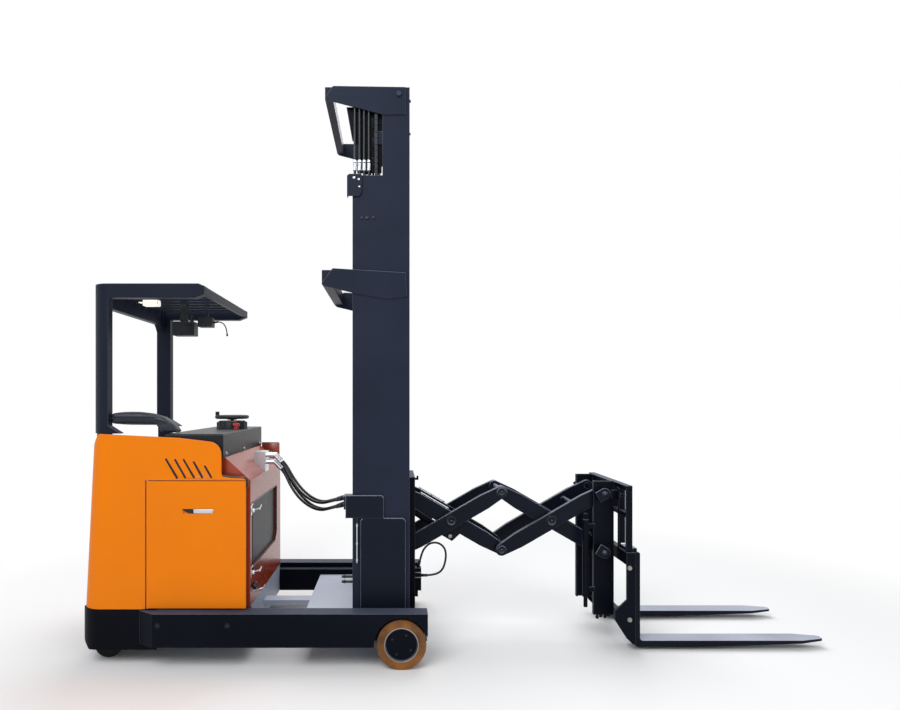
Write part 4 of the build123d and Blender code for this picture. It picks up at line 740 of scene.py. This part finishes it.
# %% Bolts on the body, mast and reach
PLUG = [(0, 0), (15, 0), (15, 0.5), (12.5, 0.7), (11.5, 0.3), (8.5, 0.3), (8.0, 0.7), (0, 0.7)]
PLUG_X, LEG_FACE_Y, PLUG_Z = (-1802, -1395), 634.5, 259
PIN_END = [(0, 0), (12, 0), (12, 2.2), (10, 3.2), (6, 3.2), (5, 2.4), (0, 2.4)]
LUG_X, LUG_FACE_Y, LUG_Z = -53, 140, 673.2
for side, way in SIDES:
    bm = bmesh.new()
    for x in PLUG_X:
        spun(bm, PLUG, (x, way * LEG_FACE_Y, PLUG_Z), (0, way, 0), 32)
    piece("leg_plugs_" + side, bm, "dark_steel", "chassis")
    bolts("mast_bolts_" + side, "chassis", [
        ((-622, way * 430, 2692), (0, way, 0), 11, "hex"),
        ((-590, way * 430, 2692), (0, way, 0), 14, "hex"),
        ((-551, way * 430, 2694), (0, way, 0), 12, "hex"),
        ((-395, way * 440, 3447), (0, way, 0), 20, "hex"),
        ((-328, way * 405, 3420), (1, 0, 0), 11, "hex"),
        ((-328, way * 405, 3217), (1, 0, 0), 9, "hex"),
    ], "dark_steel")
    bolts("frame_bolts_" + side, "fork_frame", [
        ((1042, way * 382, 527), (0, way, 0), 15, "hex"),
        ((1042, way * 382, 205), (0, way, 0), 15, "hex"),
    ], "machined_steel")
    bm = bmesh.new()
    spun(bm, PIN_END, (LUG_X, way * LUG_FACE_Y, LUG_Z), (0, way, 0), 24)
    piece("lug_pin_" + side, bm, "machined_steel", "arm_mast_inner")
bolts("console_bolts", "chassis", [
    ((-1442, -479, 1250), (1, 0, 0), 11, "cap"),
    ((-1442, -28, 1245), (1, 0, 0), 11, "cap"),
    ((-1442, 476, 1245), (1, 0, 0), 11, "cap"),
])
print("leg plugs:", len(SIDES) * len(PLUG_X))

# %% [markdown]
# ## Pin caps on the scissor
#
# Each joint of the scissor shows a shallow round plate with one screw, which keeps the pin in
# its bore. The caps are thin, because the arms pass a few millimetres from their channels.

# %% Round keeper plates
KEEPERS = [
    # body, x, z, face y, radius in mm
    ("arm_mast_outer", 281.2, 970, 181, 26),
    ("arm_mast_inner", 281.2, 590, 181, 26),
    ("arm_fork_outer", 610.3, 780, 175, 34),
    ("arm_mast_outer", -47.9, 780, 175, 34),
    ("arm_fork_outer", 939.4, 970, 175, 30),
]
SCREW_SEAT = 0.9  # mm above the face: just under the plate's sunk middle
for number, (body_name, x, z, face, radius) in enumerate(KEEPERS):
    bm = bmesh.new()
    for _, way in SIDES:
        rim = [(0, 0), (radius, 0), (radius, 0.8), (radius - 1.5, 1.6), (radius - 5, 1.6),
               (radius - 7, 1.0), (0, 1.0)]
        spun(bm, rim, (x, way * face, z), (0, way, 0), 40)
        bolt(bm, (x, way * (face + SCREW_SEAT), z), (0, way, 0), 7.5, "cap")
    piece(f"keeper_{number}", bm, "frame_enamel", body_name)
print("keeper plates:", len(SIDES) * len(KEEPERS))

# %% [markdown]
# ## Bearing housings on the fork carriage
#
# The outer ends of the last arms run in the fork carriage's channels. Outside each channel the
# upper and lower pins end in a pressed housing that follows the arm's round end, so the housing
# is an arm's end in outline, with a dished middle and one bolt.

# %% Upper and lower housings
ARM_LEAN = math.radians(30)
HOUSING_X, HOUSING_RADIUS, HOUSING_TAIL = 931, 36, 50
HOUSING_INNER_Y, HOUSING_OUTER_Y = 248.5, 256
DISH = [(0, 0), (16, 0), (16, 1.5), (13, 3), (0, 3)]
BOLT_SEAT_Y = 258.8
ARC_STEPS = 12
HOUSINGS = [
    # name, z in mm, how far the arm leans
    ("upper_housing", 970, ARM_LEAN),
    ("lower_housing", 590, -ARM_LEAN),
]


def arm_end_outline(x, z, lean):
    """An arm's round end and a straight tail behind it, as x and z in mm."""
    back_x, back_z = -math.cos(lean), -math.sin(lean)
    side_x, side_z = -back_z * HOUSING_RADIUS, back_x * HOUSING_RADIUS
    tail_x, tail_z = back_x * HOUSING_TAIL, back_z * HOUSING_TAIL
    outline = [(x + side_x, z + side_z)]
    for k in range(1, ARC_STEPS):
        turn = math.pi * k / ARC_STEPS
        outline.append((x + side_x * math.cos(turn) - back_x * HOUSING_RADIUS * math.sin(turn),
                        z + side_z * math.cos(turn) - back_z * HOUSING_RADIUS * math.sin(turn)))
    outline.append((x - side_x, z - side_z))
    outline.append((x - side_x + tail_x, z - side_z + tail_z))
    outline.append((x + side_x + tail_x, z + side_z + tail_z))
    return outline


for name, z, lean in HOUSINGS:
    bm = bmesh.new()
    for _, way in SIDES:
        faces_y = sorted((way * HOUSING_INNER_Y, way * HOUSING_OUTER_Y))
        plate(bm, arm_end_outline(HOUSING_X, z, lean), *faces_y)
        spun(bm, DISH, (HOUSING_X, way * HOUSING_OUTER_Y, z), (0, way, 0), 32)
        bolt(bm, (HOUSING_X, way * BOLT_SEAT_Y, z), (0, way, 0), 9, "cap")
    piece(name, bm, "arm_enamel", "fork_carriage")
print("housings:", len(SIDES) * len(HOUSINGS))

# %% [markdown]
# ## Hood latches and knob
#
# Two chromed toggle latches pull the hood's right edge tight, and a black knob below them
# turns a cam. A toggle is a bent lever on a base plate with a hook, so it is made from a few
# rounded slabs and a turned pin. A thin bent stay sits below the knob.

# %% Toggle latches, knob and stay
HOOD_FACE_X = -1290
LATCH_Y = -476
TOGGLE_Z = (905, 530)
KNOB_Z = 448
KNOB = [(0, 0), (9, 0), (9, 8), (20, 10), (23, 16), (23, 30), (20, 35), (0, 36)]


def toggle(bm, face, y, z):
    """A toggle latch on the face at this x: base, block, pin, lever, grip and hook."""
    slab(bm, (face, y - 15, z - 32), (face + 3, y + 15, z + 32), 1.2)
    slab(bm, (face + 3, y - 11, z - 14), (face + 20, y + 11, z + 10), 4)
    rod(bm, (face + 12, y - 18, z), (face + 12, y + 18, z), 5)
    rod(bm, (face + 14, y, z), (face + 58, y - 4, z + 18), 6)
    rod(bm, (face + 50, y - 4, z + 2), (face + 62, y - 4, z + 34), 5)
    slab(bm, (face + 3, y - 12, z + 30), (face + 10, y + 12, z + 40), 2)


bm = bmesh.new()
for z in TOGGLE_Z:
    toggle(bm, HOOD_FACE_X, LATCH_Y, z)
piece("hood_toggles", bm, "hard_chrome", "chassis")
bm = bmesh.new()
spun(bm, KNOB, (HOOD_FACE_X, LATCH_Y, KNOB_Z), (1, 0, 0), 32)
piece("hood_knob", bm, "knob_black", "chassis")
bm = bmesh.new()
rod(bm, (HOOD_FACE_X, -452, 405), (-1222, -440, 424), 4)
rod(bm, (-1228, -440, 418), (-1216, -440, 440), 4)
piece("hood_stay", bm, "zinc_plate", "chassis")
print("toggle latches:", len(TOGGLE_Z))

# %% [markdown]
# ## Rubber edging
#
# A black rubber channel covers each side panel's top edge where it steps down beside the hood,
# and a seal runs round the window in the hood's front.

# %% Panel edging and window seal
EDGING_Y, EDGING_DIAMETER = 557, 17
EDGING = [(-1440, 1122), (-1400, 1113), (-1350, 1112), (-1312, 1110), (-1297, 1096), (-1297, 1058)]
SEAL_X, SEAL_RADIUS = -1291, 4.5
SEAL = [(-450, 550), (283, 550), (343, 610), (343, 945), (-450, 945)]  # corners as y, z in mm
for side, way in SIDES:
    smooth_tube("panel_edging_" + side, [(x, way * EDGING_Y, z) for x, z in EDGING],
                EDGING_DIAMETER, "hose_rubber", "chassis")
bm = bmesh.new()
for (y0, z0), (y1, z1) in zip(SEAL, SEAL[1:] + SEAL[:1]):
    way = Vector((0, y1 - y0, z1 - z0))
    strip = [(0, 0), (SEAL_RADIUS, 0), (SEAL_RADIUS, way.length), (0, way.length)]
    spun(bm, strip, (SEAL_X, y0, z0), way.normalized(), 12)
piece("window_seal", bm, "hose_rubber", "chassis")
print("seal strips:", len(SEAL))

# %% [markdown]
# ## Small fittings
#
# The work lamp under the guard has a white diffuser. The door latch sits in a black well. The
# hydraulic lines on the mast end in bright ferrules. A hook stands on the reach carriage, and a
# few fittings hang below the fork carriage.

# %% Lamp, latch well, ferrules and hook
LINE_X, LINE_Y = (-665, -636, -608, -579), -422
LINE_FERRULE = [
    (0, 0), (9, 0), (12.5, 3), (12.5, 12), (11.4, 14), (11.4, 34), (12.5, 36), (12.5, 46), (9, 49),
    (0, 49),
]
LINE_NUT = [(0, 0), (12.8, 0), (12.8, 14), (0, 14)]
FITTINGS = [
    # x, y, lower end in mm
    (900, -196, 150), (925, -190, 158), (955, -188, 152),
]
FITTING_TOP = 178
bm = bmesh.new()
slab(bm, (-2033, -275.4, 2176), (-1933, -217.4, 2216.5), 7)
# Two thin strips behind the lens glow in the same opal: painted light, like the lens.
slab(bm, (-2062, -262, 2196), (-2034, -256, 2202), 1)
slab(bm, (-2062, -238, 2196), (-2034, -232, 2202), 1)
piece("lamp_diffuser", bm, "opal_acrylic", "chassis")
bm = bmesh.new()
plate(bm, [(-1686, 925), (-1612, 927), (-1612, 900), (-1650, 906)], -565.6, -562)
piece("latch_well", bm, "knob_black", "side_door")
bm = bmesh.new()
for x in LINE_X:
    spun(bm, LINE_FERRULE, (x, LINE_Y, 2982), (0, 0, 1), 24)
    spun(bm, LINE_NUT, (x, LINE_Y, 3034), (0, 0, 1), 6)
piece("line_ferrules", bm, "zinc_plate", "chassis")
bm = bmesh.new()
slab(bm, (-292, -150, 1046), (-262, -118, 1058), 4)
slab(bm, (-274, -150, 1054), (-262, -118, 1072), 4)
piece("carriage_hook", bm, "frame_enamel", "reach_carriage")
bm = bmesh.new()
for x, y, low in FITTINGS:
    tall = FITTING_TOP - low
    nut = [(0, 0), (9, 0), (11, 3), (11, 17), (8, 20), (8, tall), (0, tall)]
    spun(bm, nut, (x, y, low), (0, 0, 1), 6)
piece("carriage_fittings", bm, "frame_enamel", "fork_carriage")
print("line ferrules:", len(LINE_X), "carriage fittings:", len(FITTINGS))

# %% [markdown]
# ## Louvres, paddle and pod
#
# Dark plates fill the five slanted slots of the right side panel: painted shade, where the
# slots' insides would be dark. They stand 0.4 mm proud, because the solid lacks the cut of the
# third slot from the rear. The door's recessed latch has a bright paddle with raked ends. The
# small steering wheel stands over a ribbed pod, which is moulded in the console's plastic.

# %% Slot inserts, latch paddle and steering pod
SLOTS = [
    # foot x, foot z, head x, head z in mm
    (-1711, 1110, -1777, 1223), (-1662, 1113, -1723, 1220), (-1610, 1113, -1672, 1220),
    (-1561, 1113, -1612, 1206), (-1507, 1113, -1546, 1181),
]
SLOT_HALF_WIDTH, SLOT_PAST_ENDS = 5.8, 3
SLOT_Y = (-565.4, -554)
POD_X, POD_Y, POD_FOOT = -1580, 200, 1370
POD = [(0, 0), (107, 0), (107, 6), (103, 30), (100, 44), (94, 52), (86, 56), (0, 56)]
POD_RIBS, RIB_CIRCLE, RIB_Z = 14, 103, (1374, 1416)
# Dark plates in the five slots: painted shade.
bm = bmesh.new()
for foot_x, foot_z, head_x, head_z in SLOTS:
    foot, head = Vector((foot_x, 0, foot_z)), Vector((head_x, 0, head_z))
    along = (head - foot).normalized()
    across = Vector((along.z, 0, -along.x)) * SLOT_HALF_WIDTH
    low, high = foot - along * SLOT_PAST_ENDS, head + along * SLOT_PAST_ENDS
    corners = [low - across, low + across, high + across, high - across]
    plate(bm, [(c.x, c.z) for c in corners], *SLOT_Y)
piece("slot_shade_inserts", bm, "knob_black", "chassis")
bm = bmesh.new()
plate(bm, [(-1612, 926), (-1497, 925), (-1491, 919), (-1513, 901), (-1612, 901)], -569, -565.8)
round_off(bm, bm.edges[:], 1.6, 3)
piece("latch_paddle", bm, "zinc_plate", "side_door")
bm = bmesh.new()
spun(bm, POD, (POD_X, POD_Y, POD_FOOT), (0, 0, 1), 64)
for number in range(POD_RIBS):
    angle = 2 * math.pi * number / POD_RIBS
    x, y = POD_X + RIB_CIRCLE * math.cos(angle), POD_Y + RIB_CIRCLE * math.sin(angle)
    rod(bm, (x, y, RIB_Z[0]), (x, y, RIB_Z[1]), 5, 10)
piece("steering_pod", bm, "console_abs", "chassis")
print("slot inserts:", len(SLOTS), "ribs on the pod:", POD_RIBS)

# %% [markdown]
# ## Sheet pieces
#
# Behind the lines in the mast's window runs a folded tray, and a small bracket below it clips
# their ends. On the far side the body's front corner stands higher than the hood, and its
# painted edge shows behind the manifold. Two straps hold the reach valve.

# %% Hose tray, clip bracket, far corner and valve straps
TRAY = [(-652, 2975), (-500, 2975), (-500, 3384), (-718, 3384), (-682, 3178), (-652, 3150)]
TRAY_CLIP_Z = (3010, 3130, 3250)
CLIP_PLATE = [(-712, 2822), (-640, 2822), (-622, 2850), (-622, 2958), (-700, 2958), (-712, 2946)]
CORNER = [(-1440, 1060), (-1304, 1060), (-1304, 1240), (-1312, 1249), (-1440, 1249)]
STRAP_Z = (378, 412)
bm = bmesh.new()
plate(bm, TRAY, -404, -402)
for z in TRAY_CLIP_Z:
    slab(bm, (-560, -410, z), (-528, -404, z + 60), 2)
    rod(bm, (-516, -405, z + 30), (-516, -412, z + 30), 6)
piece("hose_tray", bm, "frame_enamel", "chassis")
bm = bmesh.new()
plate(bm, CLIP_PLATE, -444, -441)
slab(bm, (-712, -444, 2822), (-706, -405, 2950), 2)
piece("clip_bracket", bm, "mast_enamel", "chassis")
bolts("clip_screws", "chassis", [
    ((-668, -444, 2935), (0, -1, 0), 8, "cap"),
    ((-640, -444, 2925), (0, -1, 0), 7, "cap"),
    ((-636, -444, 2880), (0, -1, 0), 6, "cap"),
])
# The far corner is the side panel's orange, given the darker copy of the coat: painted shade.
bm = bmesh.new()
plate(bm, CORNER, 546, 549)
round_off(bm, bm.edges[:], 1.2, 2)
piece("far_corner", bm, "shaded_orange_powder_coat", "chassis")
bm = bmesh.new()
for z in STRAP_Z:
    slab(bm, (-292, -62.5, z - 3), (-238.5, 2.5, z + 3), 1)
piece("valve_straps", bm, "machined_steel", "reach_carriage")
print("tray clips:", len(TRAY_CLIP_Z), "valve straps:", len(STRAP_Z))

# %% [markdown]
# ## Pipes at the mast's foot
#
# One plated pipe comes down behind the lower cover, and two short black stubs leave the mast
# over the deck, where a service hose can be coupled.

# %% Plated pipe and stubs
PIPE_CLIP_Z = (590, 690, 800)
STUB_Z = (452, 420)
bm = bmesh.new()
rod(bm, (-651, -446, 575), (-651, -446, 818), 4)
for z in PIPE_CLIP_Z:
    slab(bm, (-657, -449, z), (-645, -440, z + 8), 1)
piece("plated_pipe", bm, "zinc_plate", "chassis")
bm = bmesh.new()
for z in STUB_Z:
    rod(bm, (-756, -300, z), (-680, -300, z), 8)
    rod(bm, (-744, -300, z), (-732, -300, z), 11, 6)
piece("service_stubs", bm, "knob_black", "chassis")
print("pipe clips:", len(PIPE_CLIP_Z), "stubs:", len(STUB_Z))

# %% [markdown]
# ## Lubrication tube on the scissor
#
# A thin steel tube with clips feeds grease to the scissor's middle pins. It is clipped on top of
# the arm that hangs from the mast, parallel to it, and folds with it.

# %% Tube and clips on the upper arm
DOWN_ARM = Vector((math.cos(ARM_LEAN), 0, -math.sin(ARM_LEAN)))
OFF_ARM = Vector((math.sin(ARM_LEAN), 0, math.cos(ARM_LEAN)))
PIN = Vector((-377, 0, 970))
TUBE_Y, TUBE_OFF, TUBE_FROM, TUBE_TO = 128, 58, 115, 330
CLIPS_ALONG, CLIP_OFF = (130, 222, 315), (44, 60)


def on_arm(along, off, y):
    """A point by its distance from the mast pin along the arm and away from its middle line."""
    place = PIN + DOWN_ARM * along + OFF_ARM * off
    return (place.x, y, place.z)


for side, way in SIDES:
    bm = bmesh.new()
    y = way * TUBE_Y
    rod(bm, on_arm(TUBE_FROM, TUBE_OFF, y), on_arm(TUBE_TO, TUBE_OFF, y), 4)
    for along in CLIPS_ALONG:
        rod(bm, on_arm(along, CLIP_OFF[0], y), on_arm(along, CLIP_OFF[1], y), 6, 6)
    piece("grease_tube_" + side, bm, "zinc_plate", "arm_mast_inner")
print("grease tubes:", len(SIDES), "with clips each:", len(CLIPS_ALONG))

# %% [markdown]
# ## Studio
#
# A pale floor, a white surround and soft lamps. The floor keeps the truck's shadow and fades
# to white away from it, but only where it is seen, directly, mirrored or through a clear
# piece, so no more light falls on the truck. The key lamp is large and high on the camera's
# side, a fill lamp lights the forks, and one above and behind draws the top edges.

# %% Floor, surround and lamps
FLOOR_HALF = 30.0
FADE_FROM, FADE_TO = 2.4, 4.5  # metres from the truck's middle
PALE = (0.93, 0.93, 0.93, 1.0)
WHITE = (1.0, 1.0, 1.0, 1.0)
COOL_WHITE = (0.94, 0.96, 1.0, 1.0)
SURROUND_LIGHT = 0.42


def seen_rays(tree):
    """1 for rays from the camera, mirrored or through a clear piece, and 0 for the rest."""
    rays = add_node(tree, "ShaderNodeLightPath").outputs
    direct = add_node(tree, "ShaderNodeMath", {
        0: rays["Is Camera Ray"], 1: rays["Is Glossy Ray"]}, operation="MAXIMUM").outputs["Value"]
    return add_node(tree, "ShaderNodeMath", {
        0: direct, 1: rays["Is Transmission Ray"]}, operation="MAXIMUM").outputs["Value"]


def studio_floor():
    """Matt floor near the truck, which fades to white where it is seen."""
    material, tree, output = new_material("studio_floor")
    where = add_node(tree, "ShaderNodeTexCoord").outputs["Object"]
    reach = add_node(tree, "ShaderNodeVectorMath", {0: where}, operation="LENGTH")
    far = add_node(tree, "ShaderNodeMapRange", {
        "Value": reach.outputs["Value"], "From Min": FADE_FROM, "From Max": FADE_TO},
        interpolation_type="SMOOTHSTEP")
    white = add_node(tree, "ShaderNodeMath", {
        0: far.outputs["Result"], 1: seen_rays(tree)}, operation="MULTIPLY")
    matt = add_node(tree, "ShaderNodeBsdfDiffuse", {"Color": PALE})
    glow = add_node(tree, "ShaderNodeEmission", {"Color": WHITE, "Strength": 1.0})
    mixed = add_node(tree, "ShaderNodeMixShader", {
        0: white.outputs["Value"], 1: matt.outputs["BSDF"], 2: glow.outputs["Emission"]})
    tree.links.new(mixed.outputs["Shader"], output.inputs["Surface"])
    return material


floor_mesh = bpy.data.meshes.new("floor")
corners = [(x * FLOOR_HALF, y * FLOOR_HALF, 0) for x, y in ((-1, -1), (1, -1), (1, 1), (-1, 1))]
floor_mesh.from_pydata(corners, [], [(0, 1, 2, 3)])
floor_mesh.materials.append(studio_floor())
floor = bpy.data.objects.new("floor", floor_mesh)
bpy.context.scene.collection.objects.link(floor)

world = bpy.data.worlds.new("surround")
bpy.context.scene.world = world
world.use_nodes = True
world.node_tree.nodes.clear()
surround = world.node_tree
lit = add_node(surround, "ShaderNodeBackground", {"Color": COOL_WHITE, "Strength": SURROUND_LIGHT})
seen = add_node(surround, "ShaderNodeBackground", {"Color": WHITE, "Strength": 1.0})
chosen = add_node(surround, "ShaderNodeMixShader", {
    0: seen_rays(surround), 1: lit.outputs["Background"], 2: seen.outputs["Background"]})
add_node(surround, "ShaderNodeOutputWorld", {"Surface": chosen.outputs["Shader"]})

LAMPS = [
    # name, place and target in metres, size in metres, watts
    ("key", (-3.0, -5.0, 5.5), (-0.4, 0.0, 1.2), 4.0, 250),
    ("fill", (3.5, -5.5, 2.5), (0.3, 0.0, 0.8), 4.0, 80),
    ("top", (0.0, 2.5, 6.0), (0.0, 0.0, 0.5), 5.0, 260),
]
for name, place, target, size, watts in LAMPS:
    lamp_data = bpy.data.lights.new(name, "AREA")
    lamp_data.size = size
    lamp_data.energy = watts
    lamp = bpy.data.objects.new(name, lamp_data)
    lamp.location = place
    lamp.rotation_euler = (Vector(target) - Vector(place)).to_track_quat("-Z", "Y").to_euler()
    bpy.context.scene.collection.objects.link(lamp)
bpy.context.scene.view_settings.view_transform = "Standard"
print("lamps:", len(LAMPS))
